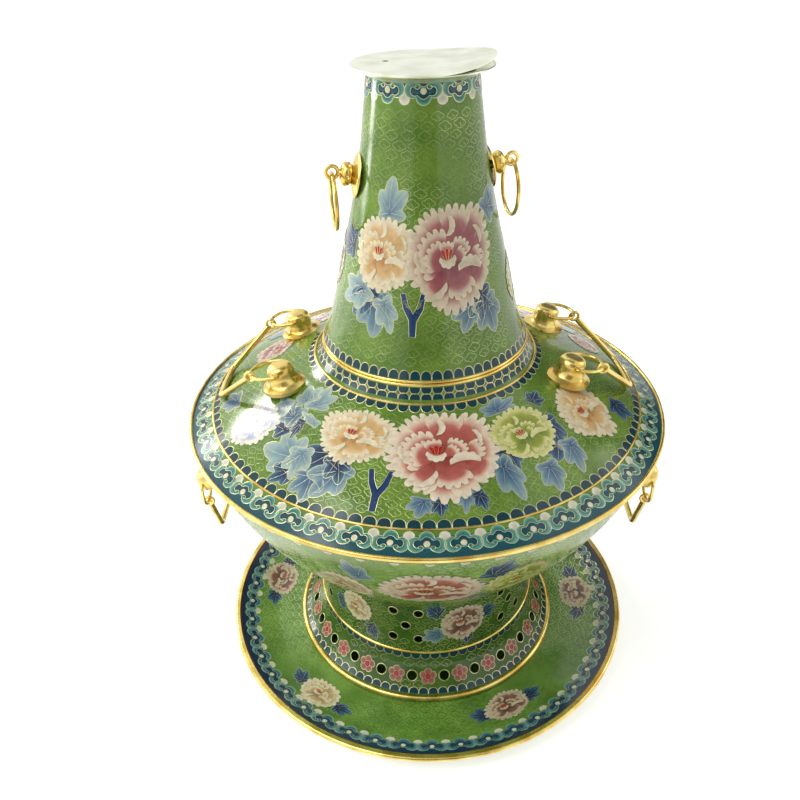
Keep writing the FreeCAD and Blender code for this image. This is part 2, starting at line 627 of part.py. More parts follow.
bowl_stud_z = LID_SEAT_Z - BOWL_STUD_DROP
bowl_stud_x = math.sqrt(radius_on(BOWL_FACE, bowl_stud_z) ** 2 - STUD_HALF_SPACING ** 2)
bowl_parts = handle_studs(BOWL_FACE, bowl_form, bowl_stud_x, bowl_stud_z, BOWL_STUD_LIFT,
                          -BOWL_STUD_DROOP, BOWL_SHEET)
bowl_holes = save_handles("bowl", BOWL_HANDLES, bowl_parts, -90.0, -90.0, 0.0)
save("bowl", bowl_wall.cut(bowl_holes))

# ---- chimney handles: a bell-shaped rosette, an eye bolt and a drop ring ----------------------------
stud_z = collar_top_z + CHIMNEY_STUD_RISE
stud_r = radius_on(CHIMNEY_FACE, stud_z)
out_r, out_z = way_out(CHIMNEY_FACE, stud_r, stud_z)
bolt_axis = V(out_r, 0, out_z)
bolt_base = V(stud_r + 0.25, 0, stud_z)

bore_r = SHANK_R + 0.1
rosette_side = [(ROSETTE_R, 0.1), (ROSETTE_R - 0.8, 1.0), (ROSETTE_R - 3.0, 1.7), (ROSETTE_R - 5.4, 2.3),
                (ROSETTE_R - 7.8, ROSETTE_H)]
rosette_in = [(ROSETTE_R - 1.3, 0.1), (ROSETTE_R - 2.4, 0.6), (ROSETTE_R - 4.6, 1.1), (ROSETTE_R - 6.6, 1.6),
              (ROSETTE_R - 8.6, ROSETTE_H - 1.0)]
rosette = turned([curve(rosette_side), curve(rosette_in), curve([rosette_side[0], rosette_in[0]]),
                  curve([rosette_side[-1], (bore_r, ROSETTE_H)]),
                  curve([(bore_r, ROSETTE_H), (bore_r, ROSETTE_H - 1.0)]),
                  curve([(bore_r, ROSETTE_H - 1.0), rosette_in[-1]])])

boss_low = ROSETTE_H + SEAT
boss_top = boss_low + BOSS_H
boss_line = [(2.3, 0.0), (0.5, 1.15), (0.0, 2.85), (0.6, 4.75), (2.5, 6.15), (4.5, BOSS_H - 0.5)]
boss_side = [(BOSS_R - step, boss_low + rise) for step, rise in boss_line]
boss = turned([curve(boss_side), curve([(0.0, boss_low), boss_side[0]]),
               curve([(0.0, boss_low), (0.0, boss_top)]), curve([(0.0, boss_top), (2.0, boss_top)]),
               curve([(2.0, boss_top), boss_side[-1]])])
dimples = [Part.makeSphere(DIMPLE_R, polar(BOSS_R + 0.4, 60 * i + 30, boss_side[2][1])) for i in range(6)]
eye_h = boss_top + CHIMNEY_EYE_R + 0.5
shank_low = -SHEET - NUT_T - 1.3
bolt = boss.cut(Part.makeCompound(dimples))
bolt = bolt.fuse([Part.makeCylinder(SHANK_R, boss_low + 0.1 - shank_low, V(0, 0, shank_low)),
                  Part.makeCylinder(1.9, 2.0, V(0, 0, boss_top - 1.2)),
                  Part.makeTorus(CHIMNEY_EYE_R, CHIMNEY_EYE_WIRE, V(0, 0, eye_h), Y)])
nut = Part.makeCylinder(NUT_R, NUT_T, V(0, 0, -SHEET - NUT_T - 0.6))
nut = nut.cut(Part.makeCylinder(SHANK_R + SHANK_GAP, 10, V(0, 0, -9)))

bolt_holes = []
nuts = []
wire_drop = CHIMNEY_EYE_R - CHIMNEY_EYE_WIRE - RING_WIRE - PIN_GAP
for side, turn in CHIMNEY_HANDLES.items():
    save("chimney_rosette_" + side, facing(stood(rosette, bolt_base, bolt_axis), turn))
    save("chimney_eye_bolt_" + side, facing(stood(bolt, bolt_base, bolt_axis), turn))
    nuts.append(facing(stood(nut, bolt_base, bolt_axis), turn))
    hang = bolt_base + bolt_axis * eye_h - UP * wire_drop
    drop_ring = Part.makeTorus(RING_R, RING_WIRE, hang - UP * RING_R, X)
    save("chimney_ring_" + side, facing(drop_ring, turn))
    hole = Part.makeCylinder(SHANK_R + SHANK_GAP, 20, bolt_base - bolt_axis * 10, bolt_axis)
    bolt_holes.append(facing(hole, turn))
save("chimney_bolt_nuts", *nuts)
save("chimney_cone", chimney_wall.cut(Part.makeCompound(bolt_holes)))
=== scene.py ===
import math
import random

import bmesh
import bpy
import numpy as np
from mathutils import Matrix, Vector
from mathutils.geometry import interpolate_bezier


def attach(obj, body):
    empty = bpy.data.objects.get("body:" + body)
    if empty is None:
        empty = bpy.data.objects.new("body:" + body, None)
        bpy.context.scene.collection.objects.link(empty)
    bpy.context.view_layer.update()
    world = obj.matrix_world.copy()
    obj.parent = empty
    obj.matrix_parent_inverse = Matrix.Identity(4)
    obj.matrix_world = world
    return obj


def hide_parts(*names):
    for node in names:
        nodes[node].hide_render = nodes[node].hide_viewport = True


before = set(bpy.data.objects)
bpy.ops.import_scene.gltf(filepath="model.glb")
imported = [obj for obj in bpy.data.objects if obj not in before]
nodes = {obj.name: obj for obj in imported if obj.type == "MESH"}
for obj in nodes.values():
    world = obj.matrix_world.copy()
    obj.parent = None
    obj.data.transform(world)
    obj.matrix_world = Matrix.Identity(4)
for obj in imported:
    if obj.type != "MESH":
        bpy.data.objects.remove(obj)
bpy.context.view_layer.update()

# ---- dish ------------------------------------------------------------------------------------------
# A shallow tray spun from copper sheet, with a gilt rolled rim. Its face is cloisonne: pale gilt wires
# are soldered on, the cells between them are filled with glass enamel, fired, ground flush and polished.


def linear(code):
    """An sRGB hex colour as linear red, green and blue, and an alpha of 1."""
    parts = [int(code[i:i + 2], 16) / 255 for i in (0, 2, 4)]
    return [c / 12.92 if c <= 0.04045 else ((c + 0.055) / 1.055) ** 2.4 for c in parts] + [1.0]


def add(tree, kind, inputs=None, **settings):
    """One shader node with its settings; an input is a value or the socket that feeds it."""
    node = tree.nodes.new(kind)
    for name, value in settings.items():
        setattr(node, name, value)
    for name, value in (inputs or {}).items():
        if isinstance(value, bpy.types.NodeSocket):
            tree.links.new(value, node.inputs[name])
        else:
            node.inputs[name].default_value = value
    return node


def finish(name, **values):
    """A material with one Principled shader, its sockets' names written with _ for a space.
    Returns the material, its tree and the shader."""
    material = bpy.data.materials.new(name)
    material.use_nodes = True
    shader = material.node_tree.nodes["Principled BSDF"]
    for socket, value in values.items():
        shader.inputs[socket.replace("_", " ")].default_value = value
    return material, material.node_tree, shader


GLASS_IOR = 1.52


def fused_glass(tree, shader, position, colour, grains, detail, first, dull, bright):
    """Enamel of one colour, specked between dull and bright where its glass frit fused unevenly.
    Polished, it keeps a faint waviness from grinding, some 18 mm from crest to crest, and tiny pits from
    the firing, some 2 mm apart."""
    frit = add(tree, "ShaderNodeTexNoise", {"Vector": position, "Scale": grains, "Detail": detail})
    speck = add(tree, "ShaderNodeMapRange", {"Value": frit.outputs["Fac"], "From Min": first,
                                             "From Max": 0.7, "To Min": dull, "To Max": bright})
    tone = add(tree, "ShaderNodeMix", {6: colour, 7: speck.outputs["Result"], 0: 1.0}, data_type="RGBA",
               blend_type="MULTIPLY")
    waves = add(tree, "ShaderNodeTexNoise", {"Vector": position, "Scale": 55.0, "Detail": 2.0})
    pits = add(tree, "ShaderNodeTexVoronoi", {"Vector": position, "Scale": 420.0})
    holes = add(tree, "ShaderNodeMapRange", {"Value": pits.outputs["Distance"], "From Min": 0.03,
                                             "From Max": 0.12, "To Min": 0.0, "To Max": 1.0})
    bump = add(tree, "ShaderNodeBump", {"Height": waves.outputs["Fac"], "Strength": 0.10,
                                        "Distance": 0.0012})
    pitted = add(tree, "ShaderNodeBump", {"Height": holes.outputs["Result"], "Strength": 0.25,
                                          "Distance": 0.00006, "Normal": bump.outputs["Normal"]})
    gloss = add(tree, "ShaderNodeMapRange", {"Value": waves.outputs["Fac"], "From Min": 0.3,
                                             "From Max": 0.7, "To Min": 0.10, "To Max": 0.20})
    tree.links.new(tone.outputs[2], shader.inputs["Base Color"])
    tree.links.new(pitted.outputs["Normal"], shader.inputs["Normal"])
    tree.links.new(gloss.outputs["Result"], shader.inputs["Roughness"])


def ground_enamel(name, dark, pale):
    """The green ground: transparent glass over copper, so it clouds from dark to pale over some 25 mm,
    with specks of a millimetre."""
    material, tree, shader = finish(name, IOR=GLASS_IOR)
    position = add(tree, "ShaderNodeTexCoord").outputs["Object"]
    clouding = add(tree, "ShaderNodeTexNoise", {"Vector": position, "Scale": 38.0, "Detail": 4.0,
                                                "Roughness": 0.6})
    ramp = add(tree, "ShaderNodeValToRGB", {"Fac": clouding.outputs["Fac"]})
    ramp.color_ramp.elements[0].position = 0.32
    ramp.color_ramp.elements[0].color = linear(dark)
    ramp.color_ramp.elements[1].position = 0.68
    ramp.color_ramp.elements[1].color = linear(pale)
    fused_glass(tree, shader, position, ramp.outputs["Color"], grains=900.0, detail=2.0, first=0.35,
                dull=0.86, bright=1.10)
    return material


def mottled_metal(name, roughness, dark, pale, first, last, **mottle):
    """Metal whose colour runs from dark to pale while a noise runs from first to last.
    Returns the material, its tree, its shader and the noise."""
    material, tree, shader = finish(name, Metallic=1.0, Roughness=roughness)
    position = add(tree, "ShaderNodeTexCoord").outputs["Object"]
    noise = add(tree, "ShaderNodeTexNoise", {"Vector": position, **mottle})
    ramp = add(tree, "ShaderNodeValToRGB", {"Fac": noise.outputs["Fac"]})
    ramp.color_ramp.elements[0].position = first
    ramp.color_ramp.elements[0].color = linear(dark)
    ramp.color_ramp.elements[1].position = last
    ramp.color_ramp.elements[1].color = linear(pale)
    tree.links.new(ramp.outputs["Color"], shader.inputs["Base Color"])
    return material, tree, shader, noise


# The other enamels are opaque and shaded by hand, so each cell carries its own colours. Their specks are
# some 4 mm apart.
cell_enamel, tree, shader = finish("opaque_glass_enamels", IOR=GLASS_IOR)
position = add(tree, "ShaderNodeTexCoord").outputs["Object"]
tint = add(tree, "ShaderNodeAttribute", attribute_name="tint")
fused_glass(tree, shader, position, tint.outputs["Color"], grains=260.0, detail=3.0, first=0.3, dull=0.84,
            bright=1.08)

# Cell wire: drawn copper, gilt after polishing, softly shiny, worn in flecks of some 3 mm.
wire_gilt, *_ = mottled_metal("gilt_cell_wire", 0.3, "C8BC7C", "F0E8B8", first=0.3, last=0.7, Scale=300.0,
                              Detail=2.0)

# The dish's ground wires lie flush with the enamel, rubbed thin; painted shade darkens them towards its
# front.
front_shaded_gilt, tree, shader = finish("front_shaded_cell_wire", Metallic=1.0, Roughness=0.34)
position = add(tree, "ShaderNodeTexCoord").outputs["Object"]
depth = add(tree, "ShaderNodeSeparateXYZ", {"Vector": position})
share = add(tree, "ShaderNodeMapRange", {"Value": depth.outputs["Y"], "From Min": -0.11, "From Max": -0.02})
ramp = add(tree, "ShaderNodeValToRGB", {"Fac": share.outputs["Result"]})
# Painted shade: dark green at the front of the dish, pale gilt towards its back.
ramp.color_ramp.elements[0].color = linear("3A4E1E")
ramp.color_ramp.elements[1].color = linear("D4DC9C")
tree.links.new(ramp.outputs["Color"], shader.inputs["Base Color"])

# Gilt brass, cast and finished by hand: a satin polish over faint dents some 8 mm apart.
gilt_brass, tree, shader, tarnish = mottled_metal("satin_gilt_brass", 0.25, "CDA74A", "F7E08C",
                                                  first=0.3, last=0.65, Scale=70.0, Detail=4.0)
position = add(tree, "ShaderNodeTexCoord").outputs["Object"]
dents = add(tree, "ShaderNodeTexNoise", {"Vector": position, "Scale": 120.0, "Detail": 2.0})
bump = add(tree, "ShaderNodeBump", {"Height": dents.outputs["Fac"], "Strength": 0.20, "Distance": 0.0005})
tree.links.new(bump.outputs["Normal"], shader.inputs["Normal"])
rough = add(tree, "ShaderNodeMapRange", {"Value": tarnish.outputs["Fac"], "To Min": 0.18, "To Max": 0.36})
tree.links.new(rough.outputs["Result"], shader.inputs["Roughness"])


def flowing(points):
    """Close-set points along a smooth line through (radius, height) points in mm."""
    steps = 8
    spots = [Vector((r, z, 0)) for r, z in points]
    line = []
    for i, (here, after) in enumerate(zip(spots, spots[1:])):
        before = spots[max(i - 1, 0)]
        beyond = spots[min(i + 2, len(spots) - 1)]
        run = interpolate_bezier(here, here + (after - before) / 6, after - (beyond - here) / 6, after,
                                 steps + 1)
        line += run[:-1]
    return [(p.x, p.y) for p in line + [spots[-1]]]


def sideways(line, distance):
    """The line moved square to itself, to the left of the way it runs."""
    moved = []
    for i, (r, z) in enumerate(line):
        (r0, z0), (r1, z1) = line[max(i - 1, 0)], line[min(i + 1, len(line) - 1)]
        length = math.hypot(r1 - r0, z1 - z0)
        moved.append((r - (z1 - z0) / length * distance, z + (r1 - r0) / length * distance))
    return moved


def placed(name, data):
    """An object in the scene for a mesh, a lamp or a camera."""
    thing = bpy.data.objects.new(name, data)
    bpy.context.scene.collection.objects.link(thing)
    return thing


def meshed(name, shape, *materials):
    """The mesh of a bmesh, which is freed, with its materials."""
    mesh = bpy.data.meshes.new(name)
    shape.to_mesh(mesh)
    shape.free()
    for material in materials:
        mesh.materials.append(material)
    return mesh


SHEET = 1.2                # thickness of the copper sheet, mm
ROUND = 240                # facets round a spun wall or a band
CREASE = math.radians(38)  # edges sharper than this stay sharp


def spun(name, outline, body, replaced, coats, inside=None):
    """Spin an outline in mm round the middle line; inside picks the faces of the second coat."""
    shape = bmesh.new()
    corners = [shape.verts.new((r / 1000, 0, z / 1000)) for r, z in outline]
    if outline[0][0] > 0:
        corners.append(corners[0])
    rails = [shape.edges.new(pair) for pair in zip(corners, corners[1:])]
    bmesh.ops.spin(shape, geom=rails, cent=(0, 0, 0), axis=(0, 0, 1), dvec=(0, 0, 0), angle=math.tau,
                   steps=ROUND, use_merge=True, use_normal_flip=False, use_duplicate=False)
    bmesh.ops.remove_doubles(shape, verts=shape.verts, dist=1e-6)
    bmesh.ops.recalc_face_normals(shape, faces=shape.faces)
    for face in shape.faces:
        face.smooth = True
        face.material_index = int(inside is not None and inside(face))
    mesh = meshed(name, shape, *coats)
    mesh.set_sharp_from_angle(angle=CREASE)
    piece = placed(name, mesh)
    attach(piece, body)
    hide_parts(replaced)


class Wall:
    """A spun wall unrolled: a place on it is (degrees round, mm along its line, mm proud).
    Its line runs so that the shown side lies to the left."""

    def __init__(self, line):
        self.radii, self.heights = np.array(line).T
        runs = np.hypot(np.diff(self.radii), np.diff(self.heights))
        self.along = np.concatenate(([0.0], np.cumsum(runs)))
        self.out_r = -np.gradient(self.heights, self.along)
        self.out_z = np.gradient(self.radii, self.along)

    def radius(self, along):
        """Radius in mm at a distance along the line."""
        return np.interp(along, self.along, self.radii)

    def place(self, degrees, along, proud):
        """Points in metres and their outward directions."""
        out_r = np.interp(along, self.along, self.out_r)
        out_z = np.interp(along, self.along, self.out_z)
        radius = self.radius(along) + out_r * proud
        height = np.interp(along, self.along, self.heights) + out_z * proud
        turn = np.radians(degrees)
        points = np.stack([radius * np.cos(turn), radius * np.sin(turn), height], -1) / 1000
        outs = np.stack([out_r * np.cos(turn), out_r * np.sin(turn), out_z], -1)
        return points, outs


def clockwise(outline):
    """True when a closed outline runs clockwise."""
    x, y = np.asarray(outline, float).T
    return np.sum(x * np.roll(y, -1) - np.roll(x, -1) * y) < 0


class Inlay:
    """Enamel cells or wires laid on one wall. Shapes are drawn flat in mm, x round and y up the wall."""

    BURIED = 0.05          # how far a cell's sides reach into the wall, mm

    def __init__(self, wall):
        self.wall = wall
        self.spots = []
        self.faces = []
        self.tints = []
        self.count = 0

    def lay(self, flat, faces, tints, places, lift):
        """Lay copies of a flat shape (x, y, proud) at places (degrees, along, size, turn in degrees)."""
        flat = np.asarray(flat, float)
        places = np.asarray(places, float)[:, :, None]
        degrees, along, size, turn = places[:, 0], places[:, 1], places[:, 2], np.radians(places[:, 3])
        x = size * (flat[:, 0] * np.cos(turn) - flat[:, 1] * np.sin(turn))
        y = size * (flat[:, 0] * np.sin(turn) + flat[:, 1] * np.cos(turn))
        down = along - y
        spots = np.stack([degrees + np.degrees(x / self.wall.radius(down)), down,
                          np.broadcast_to(flat[:, 2] + lift, x.shape)], -1)
        self.spots.append(spots.reshape(-1, 3))
        for copy in range(len(places)):
            start = self.count + copy * len(flat)
            self.faces += [[start + corner for corner in face] for face in faces]
        if tints is not None:
            self.tints.append(np.tile(tints, (len(places), 1)))
        self.count += len(flat) * len(places)

    def wire(self, stroke, places, width, crown, lift):
        """A wire along a stroke: two narrow slopes that rise out of the enamel to a low crown."""
        stroke = np.asarray(stroke, float)
        closed = np.allclose(stroke[0], stroke[-1])
        ahead = np.gradient(stroke, axis=0)
        if closed:
            ahead[0] = ahead[-1] = stroke[1] - stroke[-2]
        ahead /= np.linalg.norm(ahead, axis=1)[:, None] + 1e-9
        side = np.stack([-ahead[:, 1], ahead[:, 0]], -1) * width / 2
        sunk = np.full((len(stroke), 1), -0.4 * crown)
        flat = np.concatenate([np.hstack([stroke + side, sunk]),
                               np.hstack([stroke, np.full((len(stroke), 1), crown)]),
                               np.hstack([stroke - side, sunk])])
        n = len(stroke)
        faces = []
        for i in range(n - 1):
            faces += [(i + 1, i, n + i, n + i + 1), (n + i + 1, n + i, 2 * n + i, 2 * n + i + 1)]
        self.lay(flat, faces, None, places, lift)

    def cell(self, outline, heart, tones, places, lift, fan=False, inner=None):
        """An enamel cell shaded from its heart to its outline by tones of (share, colour).
        A fan's outline is open, and its sides run straight back to its heart. The tones inside the
        outline may follow a plainer inner one."""
        outline = np.asarray(outline, float)
        inner = outline if inner is None else np.asarray(inner, float)
        heart = np.asarray(heart, float)
        edge = np.vstack([outline, heart]) if fan else outline
        if clockwise(edge):
            outline = outline[::-1]
            inner = inner[::-1]
            edge = np.vstack([outline, heart]) if fan else outline
        n = len(outline)
        sides = [(i, (i + 1) % n) for i in range(n - 1 if fan else n)]
        flat = [[*heart, 0.0]]
        tints = [linear(tones[0][1])]
        faces = [(0, 1 + i, 1 + j) for i, j in sides]
        for row, (share, colour) in enumerate(tones[1:]):
            line = outline if share == 1 else inner
            flat += [[*spot, 0.0] for spot in heart + (line - heart) * share]
            tints += [linear(colour)] * n
            last = 1 + n * (row - 1)
            if row:
                faces += [(last + i, last + n + i, last + n + j, last + j) for i, j in sides]
        top = len(flat)
        low = top + len(edge)
        flat += [[*spot, 0.0] for spot in edge] + [[*spot, -lift - self.BURIED] for spot in edge]
        tints += [linear(tones[-1][1])] * (2 * len(edge))
        for i in range(len(edge)):
            j = (i + 1) % len(edge)
            faces.append((top + i, low + i, low + j, top + j))
        self.lay(flat, faces, np.array(tints), places, lift)

    def strip(self, outside, inside, tones, places, lift):
        """A strip of enamel between two lines, shaded from the inside tone to the outside tone."""
        n = len(outside)
        if clockwise([*outside, *inside[::-1]]):
            outside, inside = outside[::-1], inside[::-1]
        levels = (0.0, -lift - self.BURIED)
        flat = [[*spot, level] for level in levels for line in (outside, inside) for spot in line]
        faces = [(i, i + 1, n + i + 1, n + i) for i in range(n - 1)]
        faces += [(2 * n + i, 2 * n + i + 1, i + 1, i) for i in range(n - 1)]
        faces += [(n + i, n + i + 1, 3 * n + i + 1, 3 * n + i) for i in range(n - 1)]
        tints = ([linear(tones[1])] * n + [linear(tones[0])] * n) * 2
        self.lay(flat, faces, np.array(tints), places, lift)

    def band(self, first, last, tones, lift):
        """A ring of enamel between two lines, shaded across by tones of (share, colour)."""
        n = ROUND
        ring = np.linspace(0, 360, n, endpoint=False)
        rows = [(tones[0], -self.BURIED)] + [(tone, lift) for tone in tones] + [(tones[-1], -self.BURIED)]
        spots = []
        tints = []
        for (share, colour), proud in rows:
            along = first + (last - first) * share
            spots.append(np.stack([ring, np.full(n, along), np.full(n, proud)], -1))
            tints.append(np.tile(linear(colour), (n, 1)))
        for row in range(len(spots) - 1):
            for i in range(n):
                a = self.count + row * n + i
                b = self.count + row * n + (i + 1) % n
                self.faces.append((a, a + n, b + n, b))
        self.spots += spots
        self.tints += tints
        self.count += n * len(spots)

    def make(self, name, body, material, slot):
        """Bend the flat shapes onto the wall, as one piece that rides with it."""
        spots = np.concatenate(self.spots)
        points, outs = self.wall.place(spots[:, 0], spots[:, 1], spots[:, 2])
        mesh = bpy.data.meshes.new(name)
        mesh.from_pydata(points.tolist(), [], self.faces)
        mesh.shade_smooth()
        if self.tints:
            tint = mesh.color_attributes.new("tint", "FLOAT_COLOR", "POINT")
            tint.data.foreach_set("color", np.concatenate(self.tints).ravel())
            mesh.normals_split_custom_set_from_vertices(outs.tolist())
        mesh.materials.append(material)
        piece = placed(name, mesh)
        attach(piece, body)


def fire(name, body, cells, wires):
    """Fix the enamel and the cell wires of one wall, as two pieces."""
    cells.make(f"{name}_enamel_cells", body, cell_enamel, "cloisonne_enamel")
    wires.make(f"{name}_cell_wires", body, wire_gilt, "gilt_brass")


def arc(x, y, radius, first, last, count=6):
    """Points on a circle between two angles in degrees."""
    return [(x + radius * math.cos(math.radians(a)), y + radius * math.sin(math.radians(a)))
            for a in np.linspace(first, last, count)]


def grown(points, size):
    """The points, size times as far from the middle."""
    return [(size * x, size * y) for x, y in points]


def mirrored(points):
    """The points and, back to the start, their mirror image left of x = 0."""
    return points + [(-x, y) for x, y in reversed(points)]


# Cloud wires: four-lobed outlines with a hooked tail inside, in staggered rows all over the ground.
def lobed(wide, high, lobes, depth, count, start):
    """A closed outline of round lobes with sharp notches between them."""
    outline = []
    for a in np.linspace(start, start + math.tau, count):
        reach = 1 - depth + depth * abs(math.cos(lobes * a / 2)) ** 0.8
        outline.append((wide / 2 * reach * math.cos(a), high / 2 * reach * math.sin(a)))
    return outline


CLOUD = lobed(8.4, 5.8, 4, 0.26, 21, math.pi / 4)
CLOUD_TAIL = [(0.3, -2.1), (0.9, -1.1), (0.2, -0.2), (-0.8, 0.0)]
CLOUD_ROW = 5.1            # from row to row, mm
CLOUD_STEP = 9.3           # from cloud to cloud in a row, mm


def cloud_ground(wires, first, last, seed, clear, lift=0.0, gauge=0.34):
    """Rows of cloud wires between two lines, kept off the (degrees, along, mm) discs in clear."""
    dice = random.Random(seed)
    places = []
    rows = round((last - first) / CLOUD_ROW)
    for row in range(rows):
        along = first + (row + 0.5) * (last - first) / rows
        radius = float(wires.wall.radius(along))
        count = round(math.tau * radius / CLOUD_STEP)
        for i in range(count):
            degrees = (i + 0.5 * (row % 2)) * 360 / count + dice.uniform(-1, 1) * 30 / radius
            place = (degrees, along + dice.uniform(-0.4, 0.4), dice.uniform(0.80, 0.96), dice.uniform(-9, 9))
            apart = [math.hypot(math.remainder(degrees - d, 360) * math.radians(radius), along - a) - reach
                     for d, a, reach in clear]
            if min(apart) > 0:
                places.append(place)
    wires.wire(CLOUD, places, gauge, 0.05, lift)
    wires.wire(CLOUD_TAIL, places, 0.9 * gauge, 0.05, lift)


# Ruyi border: trefoil cloud heads whose ends curl in, each round a cream dot, with cream drops between.
HEAD = arc(0, 2.9, 4.0, 90, 24, 5) + arc(5.9, -0.6, 4.1, 116, -88, 12) + [(4.1, -4.2), (2.7, -3.4)]
CURL = [(1.9, -2.3), (2.1, -1.4), (2.9, -0.9), (3.9, -1.2), (4.5, -2.0), (4.1, -2.7), (3.5, -2.4)]
HEART = arc(0, 1.3, 2.6, 90, 36, 4) + arc(4.6, 0.0, 2.4, 125, -75, 8) + CURL[3:0:-1]
DOT = arc(0, 0, 1.0, 0, 330, 12)
RING = arc(0, 0, 1.0, 0, 360, 13)
DROP = [(2.9 * math.cos(a), 4.2 + 2.6 * math.sin(a)) for a in np.linspace(-0.5, math.pi + 0.5, 13)]
DROP.append((0, -0.6))


def round_wall(count, start, along, size=1.0, turn=0):
    """Places at equal steps round a wall from a start in degrees."""
    return [(start + i * 360 / count, along, size, turn) for i in range(count)]


def ruyi_border(cells, wires, count, start, along, turn=0, teal="38867A", navy="0B4A56", size=1.0):
    """A run of ruyi heads with their dots on one line; turn 180 points their tops down the wall."""
    heads = round_wall(count, start, along, size, turn)
    gaps = round_wall(count, start + 180 / count, along, size, turn)
    cells.cell(DROP, (0, 3.0), [(0, "D2D0B4"), (0.6, "E4E4CE"), (1, "F0F0E0")], gaps, 0.09)
    wires.wire(DROP + DROP[:1], gaps, 0.34, 0.05, 0.09)
    cells.cell(mirrored(HEAD + CURL[:1]), (0, 1.0), [(0, teal), (0.72, teal), (1, "7CB8A6")], heads, 0.13)
    cells.cell(mirrored(HEART), (0, 0.9), [(0, "115560"), (1, navy)], heads, 0.16)
    cells.cell(grown(DOT, 1.5), (0, 0), [(0, "F6F0D8"), (1, "E8E2C0")], heads, 0.19)
    for side in (1, -1):
        wires.wire([(side * x, y) for x, y in HEAD + CURL], heads, 0.34, 0.06, 0.13)
        wires.wire([(side * x, y) for x, y in HEART], heads, 0.30, 0.05, 0.16)
    wires.wire(grown(RING, 1.55), heads, 0.3, 0.05, 0.19)


def scallops(cells, wires, count, along, height, turn=0, start=0.0):
    """A row of dark teal scallops standing on a line; turn 180 hangs them from it."""
    half = 0.93 * math.pi * float(cells.wall.radius(along)) / count
    turns = np.linspace(0, math.pi, 9)
    rounding = [(half * math.cos(a), height * (0.35 + 0.65 * math.sin(a))) for a in turns]
    arch = [(half, 0)] + rounding + [(-half, 0)]
    places = round_wall(count, start, along, turn=turn)
    cells.cell(arch, (0, height * 0.45), [(0, "06404A"), (0.7, "06404A"), (1, "125258")], places, 0.08)
    wires.wire(arch, places, 0.38, 0.06, 0.08)


# Peonies: broad petals with a deep root and a pale rim of small round lobes, laid over one another, and
# here and there a petal's edge turned over, in one pale colour.
# Each petal is (root x, root y, direction, spread, reach, lobes) in halves of the flower's width.
PETALS = [(0.0, 0.0, 268, 46, 1.0, 4), (0.0, 0.0, 300, 46, 0.92, 4), (0.0, 0.0, 232, 46, 0.94, 4),
          (0.0, 0.0, 334, 42, 0.98, 4), (0.0, 0.0, 6, 46, 1.0, 4), (0.0, 0.0, 42, 46, 1.02, 4),
          (0.0, 0.0, 118, 48, 0.96, 5), (0.0, 0.0, 78, 52, 1.0, 5), (0.0, 0.0, 192, 42, 1.0, 4),
          (0.0, 0.0, 154, 48, 0.99, 4), (0.30, -0.10, 318, 56, 0.62, 4), (-0.15, -0.12, 200, 46, 0.72, 3),
          (-0.16, -0.14, 236, 58, 0.68, 4), (0.02, -0.10, 286, 74, 0.66, 5),
          (-0.12, -0.10, 136, 88, 0.70, 7), (0.10, -0.10, 12, 46, 0.62, 4), (-0.10, -0.06, 190, 54, 0.58, 3),
          (0.0, -0.08, 50, 62, 0.52, 5), (-0.10, -0.08, 158, 92, 0.48, 6), (-0.10, -0.05, 100, 60, 0.38, 4),
          (-0.06, -0.06, 26, 54, 0.38, 4)]
# Each turned edge is (middle x, middle y, radius, first and last angle, breadth, lobes).
TURNED_EDGES = [(-0.22, 0.60, 0.22, -58, 48, 0.09, 1), (0.34, -0.48, 0.36, 128, 36, 0.15, 5),
                (-0.12, 0.10, 0.15, 196, 344, 0.11, 5), (-0.56, -0.20, 0.42, 342, 274, 0.10, 3),
                (0.28, 0.20, 0.36, 52, -8, 0.07, 3), (-0.42, 0.06, 0.30, 222, 160, 0.07, 3)]
PINK = ["A2483E", "BC6054", "CC7468", "F2D6B8", "FBF1DA"]
PEACH = ["CC9454", "E6BA7C", "EEC88C", "F6E4BC", "FBF2D6"]
MINT = ["66820C", "8E9E20", "A8B232", "DCDE84", "F0ECA8"]
ROSE = ["924650", "AA5E62", "BC7674", "E6CCB0", "F2E6CA"]
MAUVE = ["6C4640", "8A5E54", "986C62", "DAC2A4", "EEE2C6"]
CREAM = ["A0824C", "C4A876", "D0B688", "ECDDB6", "F5EBCE"]
LAVENDER = ["8C94B8", "AAB0CC", "C0C4D8", "E6E6E8", "F6F4EE"]
SHARES = (0, 0.2, 0.4, 0.56, 0.74, 0.88, 1)


def petal_rim(facing, spread, reach, lobes):
    """Points along a petal's rim of round lobes, and along the plain line just inside the lobes."""
    rim = []
    plain = []
    for i in range(lobes * 4 + 1):
        across = i / (lobes * 2) - 1
        lobe = abs(math.sin(math.pi * i / 4)) ** 0.45
        bow = reach * (1 - 0.12 * abs(across) ** 3)
        turn = math.radians(facing + across * spread / 2)
        ray = np.array([math.cos(turn), math.sin(turn)])
        rim.append(ray * bow * (0.86 + 0.14 * lobe))
        plain.append(ray * bow * 0.93)
    return rim, plain


def turned_edge(middle, radius, first, last, breadth, lobes):
    """A crescent along an arc, thick in its middle and lobed outside."""
    outside = []
    inside = []
    for share in np.linspace(0, 1, lobes * 6 + 1):
        swell = breadth * math.sin(math.pi * share) ** 0.6 if 0 < share < 1 else 0.0
        lobe = 0.75 + 0.25 * abs(math.sin(math.pi * share * lobes))
        turn = math.radians(first + (last - first) * share)
        ray = np.array([math.cos(turn), math.sin(turn)])
        outside.append(middle + ray * (radius + swell * lobe))
        inside.append(middle + ray * (radius - 0.3 * swell))
    return outside, inside


PETAL_RISE = 0.016         # from one petal to the next over it, mm
FULL_WIDTH = 54            # a flower narrower than this has fewer lobes to a petal, mm


